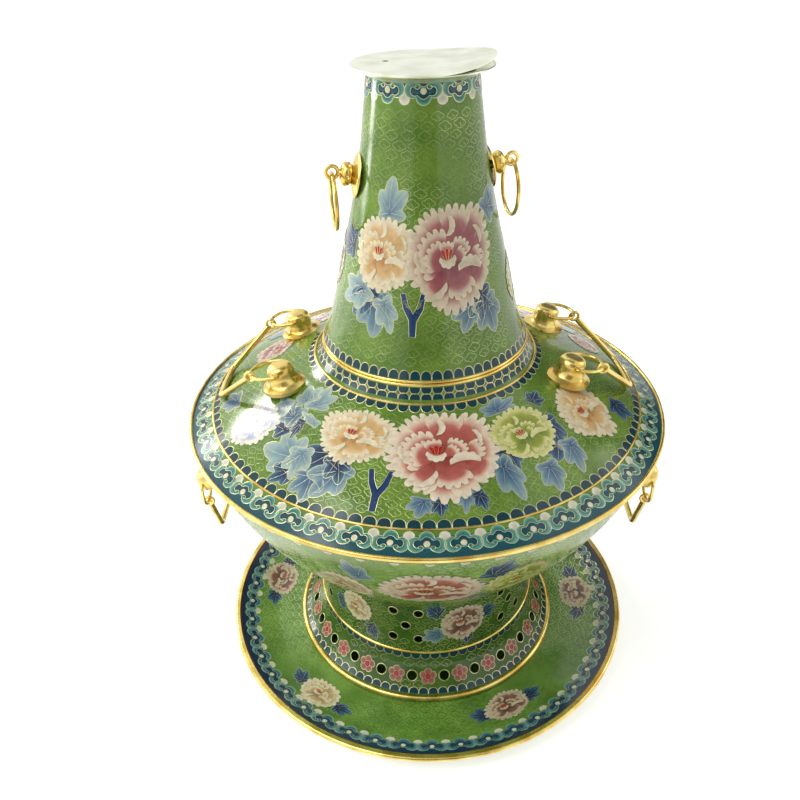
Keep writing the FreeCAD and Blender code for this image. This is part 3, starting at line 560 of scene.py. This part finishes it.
def peony(cells, wires, degrees, along, width, height, tones, seed):
    """One flower, its petals laid from the outside in, with red stamens in its heart."""
    dice = random.Random(seed)
    fineness = min(1.0, width / FULL_WIDTH)
    place = [(degrees, along, 1.0, 0.0)]
    half = np.array([width / 2, height / 2])
    shades = [tones[0], tones[0], tones[1], tones[1], tones[2], tones[3], tones[4]]
    lift = 0.30
    for x, y, facing, spread, reach, lobes in PETALS:
        root = np.array([x, y])
        rims = petal_rim(facing + dice.uniform(-6, 6), spread, reach * dice.uniform(0.93, 1.05),
                         max(2, round(lobes * fineness)))
        rim, plain = [[(root + spot) * half for spot in line] for line in rims]
        cells.cell(rim, root * half, list(zip(SHARES, shades)), place, lift, True, plain)
        wires.wire(rim, place, 0.24, 0.012, lift)
        lift += PETAL_RISE
    for x, y, radius, first, last, breadth, lobes in TURNED_EDGES:
        lean = dice.uniform(-8, 8)
        lines = turned_edge(np.array([x, y]), radius, first + lean, last + lean, breadth, lobes)
        outside, inside = [[spot * half for spot in line] for line in lines]
        cells.strip(outside, inside, tones[3:], place, lift)
        wires.wire(outside + inside[-2::-1], place, 0.2, 0.012, lift)
        lift += PETAL_RISE
    for k in (-1, 0, 1):
        low = np.array([-0.12 + 0.035 * k, 0.0])
        high = np.array([-0.12 + 0.085 * k, 0.17 - 0.02 * abs(k)])
        bar = [spot * half for spot in (low - (0.025, 0), low + (0.025, 0), high + (0.04, 0),
                                        high + (0, 0.03), high - (0.04, 0))]
        cells.cell(bar, np.mean(bar, axis=0), [(0, "D8281E"), (1, "A8140E")], place, lift)
        wires.wire(bar + bar[:1], place, 0.2, 0.012, lift)


BLUE = ["365C82", "4E7494", "668A9E", "86A4AC", "A2BCB8"]
MIST = ["66889E", "7E9EAC", "94B2B4", "A8C2BA", "BAD0C2"]
NAVY = ["0E2450", "17345E", "23486E", "3E6A84", "5E8A98"]


def leaf_reach(degrees):
    """How far a leaf of three long pointed lobes and two short ones reaches in a direction from its root."""
    lobes = ((0, 1.0, 32), (50, 0.88, 30), (-50, 0.88, 30), (100, 0.66, 28), (-100, 0.66, 28))
    return max(max(long * (1 - 0.42 * min(abs(degrees - lean) / wide, 1.5) ** 1.5)
                   for lean, long, wide in lobes), 0.30)


def leaf(cells, wires, degrees, along, width, height, turn, tones, lift):
    """A lobed peony leaf round a place; turn 0 points it up the wall, 90 to the left."""
    def spot(lean, reach):
        sway = 0.12 * reach ** 2
        return (width * (0.60 * reach * math.sin(math.radians(lean)) + sway),
                height * (0.74 * reach * math.cos(math.radians(lean)) - 0.28))

    outline = [spot(lean, leaf_reach(lean)) for lean in np.linspace(-138, 138, 53)]
    root = (0, -0.28 * height)
    place = [(degrees, along, 1.0, turn)]
    cells.cell(outline, root, list(zip((0, 0.35, 0.62, 0.84, 1), tones)), place, lift)
    wires.wire(outline + outline[:1], place, 0.26, 0.012, lift)
    for lean in (0, 48, -48, 98, -98):
        vein = [spot(lean, share * leaf_reach(lean)) for share in np.linspace(0.1, 0.9, 7)]
        wires.wire(vein, place, 0.16, 0.012, lift + 0.03)


def bouquet(cells, wires, flowers, leaves, seed):
    """Leaves first, then the flowers over them. A flower is (degrees, along, width, height, tones), and a
    leaf has its turn before its tones. Returns the discs that the ground's wires keep off."""
    for index, (degrees, along, width, height, turn, tones) in enumerate(leaves):
        leaf(cells, wires, degrees, along, width, height, turn, tones, 0.06 + 0.008 * index)
    for index, (degrees, along, width, height, tones) in enumerate(flowers):
        peony(cells, wires, degrees, along, width, height, tones, seed + index)
    return [(f[0], f[1], 0.40 * min(f[2], f[3])) for f in flowers]


def coat(material, *names):
    """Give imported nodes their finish."""
    for name in names:
        nodes[name].data.materials[0] = material


# The dish's green is a light one.
dish_enamel = ground_enamel("dish_green_glass_enamel", "588632", "84B04E")
DISH_FLOOR = 3.8           # height of the flat face
DISH_FACE = [(60.0, DISH_FLOOR), (100.0, DISH_FLOOR), (112.0, DISH_FLOOR), (121.9, 4.94), (129.8, 7.36),
             (138.1, 10.66), (146.1, 14.21), (151.6, 16.5)]
face = flowing(DISH_FACE)
spun("dish_tray", [(0.0, DISH_FLOOR)] + face + sideways(face, -SHEET)[::-1] + [(0.0, DISH_FLOOR - SHEET)],
     "dish", "dish", [dish_enamel])
wall = Wall(face)
cells = Inlay(wall)
wires = Inlay(wall)
edge = wall.along[-1]
dots = edge - 9.4          # the line of the ruyi border's dots
cells.band(dots - 3.4, edge - 1.2, [(0, "2A6E84"), (0.35, "123F5C"), (1, "0D3450")], 0.05)
cells.band(edge - 1.3, edge, [(0, "6E3A22"), (1, "5A2C1C")], 0.06)
ruyi_border(cells, wires, count=46, start=-89.4, along=dots, teal="32708A", navy="12405C", size=1.1)
flowers = [(170.3, 65.4, 37, 29, MAUVE), (-130, 65, 33, 28, CREAM), (-62, 60.5, 38, 26, MAUVE),
           (0.8, 64.5, 36, 28, MAUVE), (46, 64, 36, 28, CREAM), (88, 64, 36, 28, MAUVE),
           (130, 64, 36, 28, CREAM)]
leaves = [(f[0] - side * 10.5, f[1], 15, 17, side * 80, NAVY) for f in flowers for side in (-1, 1)]
clear = bouquet(cells, wires, flowers, leaves, seed=40)
ground = Inlay(wall)
cloud_ground(ground, first=40.5, last=dots - 8.8, seed=3, clear=clear, gauge=0.46)
fire("dish", "dish", cells, wires)
# The dish's cloud wires carry painted shade towards the front.
ground.make("dish_cloud_wires", "dish", front_shaded_gilt, "gilt_brass")
coat(gilt_brass, "dish_rim", "dish_foot")

# ---- base ------------------------------------------------------------------------------------------
# Flare and drum: two copper walls soldered under the bowl, with air holes drilled through them for the
# charcoal. Each hole has a gilt wire ring; plum flowers stand between the holes of the flare.

# The base's green is a darkened copy of the ground enamel: painted shade for the bowl's shadow over it.
shaded_base_enamel = ground_enamel("shaded_base_green_enamel", "365E18", "567C28")

# The ground's wires lie flush with the enamel, so their gilding is rubbed dull in patches of some 30 mm.
rubbed_gilt, *_ = mottled_metal("rubbed_cell_wire", 0.34, "7E9044", "C8D094", first=0.35, last=0.65,
                                Scale=30.0, Detail=3.0)

FLARE_FACE = [(82.8, 34.0), (83.6, 30.04), (86.0, 23.44), (90.0, 17.1), (94.64, 11.56), (98.8, 7.6)]
DRUM_FACE = [(79.5, 86.0), (79.6, 74.02), (80.19, 59.99), (81.2, 46.98), (82.8, 35.0)]
PLUM_R = 6.1
PLUM = []
for a in np.linspace(0, math.tau, 41):
    reach = PLUM_R * (0.70 + 0.30 * abs(math.cos(2.5 * a)) ** 0.6)
    PLUM.append((reach * math.sin(a), reach * math.cos(a)))
FLARE_VENTS = 24           # air holes round the flare, with a plum flower between each two
VENT_RING = grown(RING, 3.98)              # close round a hole


def plum_flowers(cells, wires, places):
    """Five pink petals round a red heart."""
    cells.cell(PLUM[:-1], (0, 0), [(0, "8C2A32"), (0.4, "A25650"), (1, "B87E6C")], places, 0.12)
    cells.cell(grown(DOT, 2.0), (0, 0), [(0, "E04050"), (1, "B01E30")], places, 0.15)
    wires.wire(PLUM, places, 0.42, 0.06, 0.12)
    for k in range(5):
        a = math.pi / 5 + k * math.tau / 5
        wires.wire([(r * math.sin(a), r * math.cos(a)) for r in (2.2, 4.2)], places, 0.3, 0.04, 0.12)
    wires.wire(grown(RING, 2.2), places, 0.3, 0.05, 0.12)


wall = Wall(flowing(FLARE_FACE))
cells = Inlay(wall)
wires = Inlay(wall)
vents = round_wall(FLARE_VENTS, start=-97.5, along=18.2)
plum_flowers(cells, wires, round_wall(FLARE_VENTS, start=-90, along=18.4))
wires.wire(VENT_RING, vents, width=0.55, crown=0.10, lift=0.06)
scallops(cells, wires, count=75, along=0.8, height=4.4, turn=180)
scallops(cells, wires, count=86, along=wall.along[-1] - 1.0, height=4.4)
clear = [(v[0], v[1], 7.2) for v in vents] + [(v[0] + 180 / FLARE_VENTS, v[1], 9.5) for v in vents]
ground = Inlay(wall)
cloud_ground(ground, first=6.5, last=27.0, seed=5, clear=clear, lift=0.04)
fire("flare", "pot", cells, wires)
ground.make("flare_cloud_wires", "pot", rubbed_gilt, "gilt_brass")

wall = Wall(flowing(DRUM_FACE))
cells = Inlay(wall)
wires = Inlay(wall)
# Six groups of five holes: one in the middle and four round it, in degrees round and mm down.
GROUP = [(0, 0), (-6.6, -12.3), (6.6, -12.3), (-6.6, 12.3), (6.6, 12.3)]
GROUP_HEIGHT = 59.3        # of the middle holes
middle = float(np.interp(-GROUP_HEIGHT, -wall.heights, wall.along))
vents = [(-101.3 + 60 * k + turn, middle + down, 1.0, 0.0) for k in range(6) for turn, down in GROUP]
wires.wire(grown(VENT_RING, 0.92), vents, width=0.55, crown=0.10, lift=0.06)
flowers = []
leaves = []
for k in range(6):
    shift = 60 * k
    if k % 2:
        flowers.append((-131.7 + shift, 26.4, 36, 33, MAUVE))
        leaves += [(-147.3 + shift, 37, 17, 17, 120, BLUE), (-147.3 + shift, 12.2, 17, 15, 60, NAVY),
                   (-116.6 + shift, 22.8, 16, 15, -80, NAVY), (-129 + shift, 43, 12, 10, 180, NAVY)]
    else:
        flowers.append((-130.0 + shift, 24.9, 28, 26, CREAM))
        leaves += [(-118.8 + shift, 41, 14, 16, -150, NAVY), (-143 + shift, 33, 18, 12, 100, NAVY)]
bouquet(cells, wires, flowers, leaves, seed=60)
clear = [(v[0], v[1], 7.0) for v in vents] + [(f[0], f[1], 0.4 * f[3]) for f in flowers]
ground = Inlay(wall)
cloud_ground(ground, first=3.0, last=wall.along[-1] - 1.0, seed=7, clear=clear, lift=0.04)
fire("drum", "pot", cells, wires)
ground.make("drum_cloud_wires", "pot", rubbed_gilt, "gilt_brass")
# The flare and the drum wear the darkened green of painted shade.
coat(shaded_base_enamel, "base_flare", "base_drum")
coat(gilt_brass, "base_foot_rim", "base_belt")

# ---- bowl ------------------------------------------------------------------------------------------
# A deep bowl raised from one thick copper sheet, tinned inside for the broth, enamelled outside, with a
# gilt rim. The charcoal tube is brazed through its floor; the grate lies on a ledge inside the tube.

# The bowl's green is a lightened copy of the ground enamel: painted light that lifts it out of its shade.
lightened_bowl_enamel = ground_enamel("lightened_bowl_green_enamel", "5E902E", "90BC48")

# Counter enamel and bare inner faces: tinned copper, wiped smooth in smears of some 20 mm, greyish with a
# copper blush.
tinned_copper, tree, shader, smear = mottled_metal("tinned_copper", 0.38, "B39C8C", "C9C3B8", first=0.35,
                                                   last=0.6, Scale=45.0, Detail=5.0, Distortion=0.8)
rough = add(tree, "ShaderNodeMapRange", {"Value": smear.outputs["Fac"], "To Min": 0.28, "To Max": 0.5})
tree.links.new(rough.outputs["Result"], shader.inputs["Roughness"])


def inward(face):
    """True for faces that look at the middle line."""
    middle = face.calc_center_median()
    return face.normal.x * middle.x + face.normal.y * middle.y < 0


BOWL_SHEET = 1.5           # thickness of the bowl's sheet
BOWL_FLOOR = 67.0          # height of the bowl's underside
TUBE_HOLE_R = 51.9         # radius at which the floor meets the charcoal tube
BOWL_FACE = [(157.6, 198.0), (149.95, 180.05), (140.58, 160.01), (128.44, 139.97), (113.43, 120.06),
             (97.37, 100.01), (80.64, 79.97), (72.04, 72.63), (62.0, BOWL_FLOOR)]
face = flowing(BOWL_FACE)
inner = sideways(face, -BOWL_SHEET)
inner_floor = BOWL_FLOOR + BOWL_SHEET
floor = [(TUBE_HOLE_R, BOWL_FLOOR), (TUBE_HOLE_R, inner_floor), (61.0, inner_floor)]
# The bowl's outside wears the lightened green of painted light.
spun("bowl_wall", [(158.3, 199.7)] + face + floor + inner[-2::-1] + [(156.9, 199.9)], "pot", "bowl",
     [lightened_bowl_enamel, tinned_copper], inside=lambda f: inward(f) or f.normal.z > 0.9)
# The rim is a thin gilt bead, with the enamel close up to it and the tips of cream drops under it.
BEAD_R = 158.0             # radius of the ring that it makes
BEAD_HEIGHT = 200.1
bead = [(BEAD_R + 1.1 * x, BEAD_HEIGHT + 0.75 * y) for x, y in DOT]
spun("bowl_rim_bead", bead, "pot", "bowl_rim", [gilt_brass])
wall = Wall(face)
cells = Inlay(wall)
wires = Inlay(wall)
flowers = []
leaves = []
for k in range(3):
    shift = 120 * k
    leaves += [(-107.1 + shift, 19.8, 20, 30, 20, BLUE), (-75 + shift, 17.5, 24, 28, -20, NAVY),
               (-121 + shift, 66, 24, 20, 120, NAVY), (-76 + shift, 78, 22, 24, 200, BLUE),
               (-38 + shift, 40, 26, 24, -100, BLUE)]
    flowers += [(-112.5 + shift, 54.8, 38, 50, CREAM), (-68.1 + shift, 42.9, 42, 47, MINT),
                (-89.5 + shift, 44.7, 67, 63, PINK)]
TIP_R = 2.7
TIP = arc(0, 0, TIP_R, 180, 360, 9)
tips = round_wall(count=52, start=-90, along=0.2)
cells.cell(TIP, (0, -1.0), [(0, "D2D0B4"), (1, "F0F0E0")], tips, 0.09)
wires.wire(TIP, tips, width=0.3, crown=0.05, lift=0.09)
clear = bouquet(cells, wires, flowers, leaves, seed=80)
fire("bowl", "pot", cells, wires)
ground = Inlay(wall)
cloud_ground(ground, first=2.0, last=wall.along[-1] - 34.0, seed=9, clear=clear)
ground.make("bowl_cloud_wires", "pot", rubbed_gilt, "gilt_brass")
coat(gilt_brass, "bowl_handle_studs", "bowl_stud_washers")
coat(tinned_copper, "fire_tube", "fire_tube_lip", "grate_ledge")

# Grate: cast iron, grained like coarse sand from the mould, with grey ash that takes off part of its shine.
cast_iron, tree, shader, grain = mottled_metal("cast_iron", 0.75, "2B2927", "5C5853", first=0.0, last=1.0,
                                               Scale=700.0, Detail=4.0)
shader.inputs["Metallic"].default_value = 0.6
bump = add(tree, "ShaderNodeBump", {"Height": grain.outputs["Fac"], "Strength": 0.6, "Distance": 0.0003})
tree.links.new(bump.outputs["Normal"], shader.inputs["Normal"])
coat(cast_iron, "fire_grate")

# ---- lid -------------------------------------------------------------------------------------------
# A ring-shaped dome spun from sheet, with a gilt rim, gilt lines soldered at its border and its collar,
# and a lip inside that centres it in the bowl. It carries the richest flowers.

# The lid and the chimney share a middling green.
green_enamel = ground_enamel("green_glass_enamel", "547C24", "7EA23C")

COLLAR_R = 64.4            # radius of the opening that takes the chimney
COLLAR_TOP = 253.0         # height of the collar
COLLAR_FACE = [(67.2, COLLAR_TOP), (69.41, 248.3), (71.9, 244.3)]
DOME_FACE = [(71.9, 244.3), (77.96, 241.18), (84.97, 238.18), (100.0, 231.3), (115.03, 224.29),
             (129.97, 217.21), (143.98, 210.0), (152.01, 206.19), (157.3, 203.8), (158.6, 203.2)]
collar = flowing(COLLAR_FACE)
dome = flowing(DOME_FACE)
face = collar + dome[1:]
under = sideways(face, -SHEET)[::-1] + [(COLLAR_R, COLLAR_TOP - SHEET)]
spun("lid_wall", [(COLLAR_R, COLLAR_TOP)] + face + under, "lid", "lid_dome", [green_enamel, tinned_copper],
     inside=lambda f: inward(f) or f.normal.z < -0.3)
# The rim is a gilt wire hammered a little flat: upright sides between two round edges.
RIM_R = 159.6              # radius of the ring that it makes
RIM_HALF = 1.3             # half its thickness
band = arc(RIM_R, 203.0, RIM_HALF, 0, 180, 8) + arc(RIM_R, 202.3, RIM_HALF, 180, 360, 8)
spun("lid_rim_band", band, "lid", "lid_rim", [gilt_brass])
wall = Wall(collar)
cells = Inlay(wall)
wires = Inlay(wall)
scallops(cells, wires, count=63, along=0.9, height=3.9, turn=180, start=-90)
scallops(cells, wires, count=65, along=8.2, height=3.9, start=-90)
fire("collar", "lid", cells, wires)

wall = Wall(dome)
cells = Inlay(wall)
wires = Inlay(wall)
edge = wall.along[-1]
scallops(cells, wires, count=68, along=1.6, height=5.0, turn=180, start=-90)
scallops(cells, wires, count=109, along=79.4, height=5.3, start=-90)
cells.band(83.4, edge, [(0, "2C7C80"), (0.5, "185C68"), (1, "16525E")], 0.05)
ruyi_border(cells, wires, count=48, start=-90.55, along=88.0, size=1.05)
flowers = [(-151.9, 55.1, 36, 36, LAVENDER), (-115.4, 28.2, 52, 39, PEACH), (-55.8, 33.6, 46, 37, MINT),
           (-29.1, 44.9, 45, 45, PEACH), (-84.9, 35.1, 68, 60, PINK), (166, 41, 34, 32, PINK),
           (18.8, 56, 30, 22, PINK), (48, 40, 60, 54, PINK), (76, 34, 46, 40, PEACH),
           (104, 40, 46, 42, MINT), (134, 38, 52, 46, PINK)]
leaves = [(-122.5, 50, 26, 30, 150, NAVY), (-134.5, 58, 34, 32, 110, MIST),
          (-129.4, 67.0, 20, 22, 150, NAVY), (-127.5, 56.5, 22, 24, 200, MIST),
          (-120.9, 66.5, 26, 22, 200, BLUE), (-116.4, 60, 30, 30, 165, BLUE),
          (-115.4, 50.5, 20, 22, 215, NAVY), (-143.4, 40.5, 24, 24, 60, NAVY),
          (-145.8, 34.5, 22, 26, 90, BLUE), (-149, 37, 18, 22, 200, MIST), (-139.9, 14.8, 24, 20, 20, MIST),
          (-146.5, 19, 22, 16, 60, MIST), (-135.9, 30.0, 7, 20, 85, MIST), (-136.6, 39.0, 9, 17, 195, NAVY),
          (-64.5, 46, 18, 20, 190, NAVY), (-67.2, 56.5, 21, 32, 195, BLUE), (-50, 52.5, 22, 16, 150, NAVY),
          (-46.0, 42, 22, 28, 170, NAVY), (-55.9, 64.0, 20, 22, 180, BLUE), (-46.0, 60, 18, 26, 165, BLUE),
          (-80.6, 64, 12, 18, 175, BLUE), (-76.8, 65.5, 11, 14, 200, NAVY), (-91.5, 67.6, 18, 14, 170, BLUE),
          (-87.0, 67.4, 12, 12, 190, NAVY), (-60, 10.0, 30, 12, 0, BLUE), (-40.8, 15.9, 15, 13, -60, NAVY),
          (-17, 66, 22, 20, 190, NAVY), (33, 62, 26, 24, 160, BLUE), (62, 62, 26, 24, 190, BLUE),
          (90, 60, 24, 26, 180, NAVY), (118, 62, 26, 24, 170, BLUE), (150, 62, 24, 22, 200, NAVY),
          (-168, 66, 24, 18, 170, BLUE)]
TRUNK = [(-1.9, -13), (1.9, -13), (2.3, -4), (6.0, 3), (7.6, 12), (4.6, 12.6), (2.6, 5.4), (0.2, 0.6),
         (-2.6, 6.0), (-4.2, 12.6), (-7.4, 12), (-5.6, 3.4), (-2.3, -3)]


def trunk(cells, wires, degrees, along):
    """A forked stem in dark blue."""
    place = [(degrees, along, 1.0, 0.0)]
    cells.cell(TRUNK, (0, -0.5), [(0, "14365E"), (1, "1E4A7C")], place, 0.11)
    wires.wire(TRUNK + TRUNK[:1], place, 0.4, 0.05, 0.11)


for degrees in (-103.3, 34.0, 120.0):
    trunk(cells, wires, degrees, 58.6)
clear = bouquet(cells, wires, flowers, leaves, seed=20)
ground = Inlay(wall)
cloud_ground(ground, first=8.0, last=73.5, seed=11, clear=clear)
fire("lid", "lid", cells, wires)
ground.make("lid_cloud_wires", "lid", rubbed_gilt, "gilt_brass")
coat(gilt_brass, "lid_border_line", "lid_collar_line", "lid_collar_rim", "lid_handle_studs",
     "lid_stud_washers")
coat(tinned_copper, "lid_locating_lip")

# ---- handles ---------------------------------------------------------------------------------------
# Cast brass studs riveted through the walls, links of drawn wire through their cross holes, and forged
# bails that hang in the links by an eye at each end; all gilt and polished.
for vessel in ("lid", "bowl"):
    for side in ("right", "left"):
        coat(gilt_brass, f"{vessel}_bail_{side}", f"{vessel}_link_{side}_front",
             f"{vessel}_link_{side}_back")

# ---- chimney ---------------------------------------------------------------------------------------
# A tall tapered flue rolled from sheet, drawn out at the foot, that drops into the lid's collar; eye
# bolts through bell-shaped rosettes carry a drop ring on each side.
CHIMNEY_FACE = [(31.5, 415.0), (33.0, 402.89), (34.7, 389.97), (36.51, 376.58), (39.89, 357.93),
                (44.2, 337.85), (51.3, 307.56), (54.99, 291.78), (57.98, 279.51), (60.91, 269.47),
                (66.3, 255.6)]
face = flowing(CHIMNEY_FACE)
spun("chimney_wall", face + sideways(face, -SHEET)[::-1], "chimney", "chimney_cone",
     [green_enamel, tinned_copper], inside=inward)
wall = Wall(face)
cells = Inlay(wall)
wires = Inlay(wall)
edge = wall.along[-1]
cells.band(0.3, 4.6, [(0, "10455E"), (1, "1E6C7C")], 0.05)
ruyi_border(cells, wires, count=10, start=-90.3, along=3.7, turn=180)
swags = round_wall(count=20, start=-90.3, along=1.0)
wires.wire(arc(0, 2.4, 2.8, 215, 325), swags, width=0.3, crown=0.04, lift=0.05)
scallops(cells, wires, count=63, along=edge - 0.9, height=5.6, start=-90)
flowers = [(-120.8, 91.4, 42, 47, PEACH), (-70.6, 92.7, 57, 66, ROSE), (60, 94, 56, 64, ROSE),
           (110, 92, 42, 46, PEACH), (-5, 122, 34, 34, MINT), (175, 110, 40, 40, MAUVE)]
leaves = [(-118.7, 59.8, 22, 27, 5, MIST), (-131, 122, 26, 28, 150, NAVY), (-121, 127, 32, 30, 190, BLUE),
          (-140, 119, 26, 28, 130, MIST), (-113.5, 125.5, 18, 24, 205, MIST),
          (-61.5, 127, 24, 24, 165, BLUE), (-51, 123, 24, 24, 190, NAVY), (-45.5, 130, 26, 26, 200, BLUE),
          (-24.9, 66, 22, 26, -60, BLUE), (70, 130, 40, 30, 180, BLUE), (128, 126, 38, 28, 160, NAVY),
          (108, 60, 20, 24, 0, BLUE), (32, 68, 20, 24, 60, BLUE), (155, 88, 22, 22, -90, BLUE),
          (-160, 92, 24, 24, 90, NAVY), (12, 98, 22, 20, -60, BLUE)]
trunk(cells, wires, -97.9, 124)
trunk(cells, wires, 86, 126)
clear = bouquet(cells, wires, flowers, leaves, seed=120)
ground = Inlay(wall)
cloud_ground(ground, first=13.5, last=edge - 9.0, seed=13, clear=clear)
fire("chimney", "chimney", cells, wires)
ground.make("chimney_cloud_wires", "chimney", rubbed_gilt, "gilt_brass")
coat(gilt_brass, "chimney_foot_ring", "chimney_bolt_nuts")
for side in ("right", "left"):
    coat(gilt_brass, f"chimney_rosette_{side}", f"chimney_eye_bolt_{side}", f"chimney_ring_{side}")

# ---- damper plate ----------------------------------------------------------------------------------
# The trumpet flange and the loose plate that damps the fire: thin brass with a pale gilt wash.
pale_gilt, *_ = mottled_metal("pale_gilt_wash", 0.28, "D6DABC", "F2F6E2", first=0.3, last=0.6, Scale=60.0,
                              Detail=4.0)
coat(pale_gilt, "chimney_flange", "chimney_damper_plate")

# ---- table, light and camera -------------------------------------------------------------------------
# A wide white table in even white light, with five square lamps. Three grey cards, hidden from the camera,
# keep the white room out of the glass and the gilding.


def backdrop_rays(tree):
    """A socket that is 1 for the rays that see the room: straight, mirrored or through glass."""
    path = add(tree, "ShaderNodeLightPath")
    plain = add(tree, "ShaderNodeMath", {0: path.outputs["Is Camera Ray"], 1: path.outputs["Is Glossy Ray"]},
                operation="MAXIMUM")
    seen = add(tree, "ShaderNodeMath", {0: plain.outputs[0], 1: path.outputs["Is Transmission Ray"]},
               operation="MAXIMUM")
    return seen.outputs[0]


TABLE_R = 6.0              # radius in metres, wide enough to fill the view
TABLE_GLOW = 0.64          # lifts the lit paper to plain white where it is seen
ROOM_LIGHT = 0.43          # strength of the even light that falls on the pot
shape = bmesh.new()
bmesh.ops.create_circle(shape, cap_ends=True, segments=96, radius=TABLE_R)
paper, tree, shader = finish("white_paper", Roughness=0.9, Base_Color=linear("F4F4F4"),
                             Emission_Color=(1, 1, 1, 1))
glow = add(tree, "ShaderNodeMath", {0: backdrop_rays(tree), 1: TABLE_GLOW}, operation="MULTIPLY")
tree.links.new(glow.outputs[0], shader.inputs["Emission Strength"])
table = placed("table", meshed("table", shape, paper))


def softbox(name, spot, aim, size, watts):
    """A square lamp at a spot that faces a point, in metres and watts."""
    lamp = bpy.data.lights.new(name, "AREA")
    lamp.size = size
    lamp.energy = watts
    holder = placed(name, lamp)
    holder.location = spot
    holder.rotation_euler = (Vector(aim) - Vector(spot)).to_track_quat("-Z", "Y").to_euler()


def card(name, spot, aim, wide, high, colour):
    """A grey card at a spot that faces a point, in metres, which the camera doesn't see."""
    shape = bmesh.new()
    bmesh.ops.create_grid(shape, x_segments=1, y_segments=1, size=0.5)
    bmesh.ops.scale(shape, vec=(wide, high, 1), verts=shape.verts)
    facing = (Vector(aim) - Vector(spot)).to_track_quat("Z", "Y").to_matrix().to_4x4()
    bmesh.ops.transform(shape, matrix=Matrix.Translation(spot) @ facing, verts=shape.verts)
    paper, *_ = finish(name, Roughness=0.9, Base_Color=linear(colour))
    holder = placed(name, meshed(name, shape, paper))
    holder.visible_camera = False


card("card_above", (0.0, 0.1, 2.2), (0, 0, 0.2), 1.9, 1.6, "A4A4A0")
card("card_behind_camera", (0.1, -2.0, 1.2), (0, 0, 0.3), 1.8, 2.4, "A4A4A0")
card("card_back_right", (1.1, 1.7, 1.25), (0, 0, 0.2), 2.0, 1.5, "6C6C68")
softbox("window_back_left", (-1.28, 1.11, 1.14), (0, 0, 0.2), 0.34, 7.5)
softbox("window_far_left", (-1.85, 0.7, 0.35), (0, 0, 0.25), 0.4, 5.0)
softbox("window_left", (-1.7, -0.5, 1.0), (0, 0, 0.2), 0.8, 4.0)
softbox("window_right", (1.6, 0.3, 1.0), (0, 0, 0.2), 0.8, 3.0)
softbox("lamp_above", (-1.05, -0.6, 1.9), (0, 0, 0.15), 1.1, 15.5)

world = bpy.data.worlds.new("studio")
bpy.context.scene.world = world
world.use_nodes = True
tree = world.node_tree
light = tree.nodes["Background"]
light.inputs["Color"].default_value = (1, 1, 1, 1)
light.inputs["Strength"].default_value = ROOM_LIGHT
seen = add(tree, "ShaderNodeBackground", {"Color": (1, 1, 1, 1), "Strength": 1.0})
mixed = add(tree, "ShaderNodeMixShader", {0: backdrop_rays(tree), 1: light.outputs[0], 2: seen.outputs[0]})
tree.links.new(mixed.outputs[0], tree.nodes["World Output"].inputs["Surface"])

# The camera stands close in front of the pot, half a metre up, and looks down at 33 degrees.
camera = bpy.data.cameras.new("camera")
camera.lens = 35.18
camera.sensor_width = 36.0
camera.clip_start = 0.01
eye = placed("camera", camera)
eye.location = (-0.00666, -0.45878, 0.49817)
# Its own directions: to the right, up, and the way that it looks.
across = Vector((0.99971503, 0.00880481, -0.02218882))
up = Vector((0.01380522, 0.54506386, 0.83828086))
ahead = Vector((-0.01947523, 0.8383483, -0.54478698))
eye.rotation_euler = Matrix((across, up, -ahead)).transposed().to_euler()
bpy.context.scene.camera = eye
bpy.context.scene.view_settings.view_transform = "Standard"
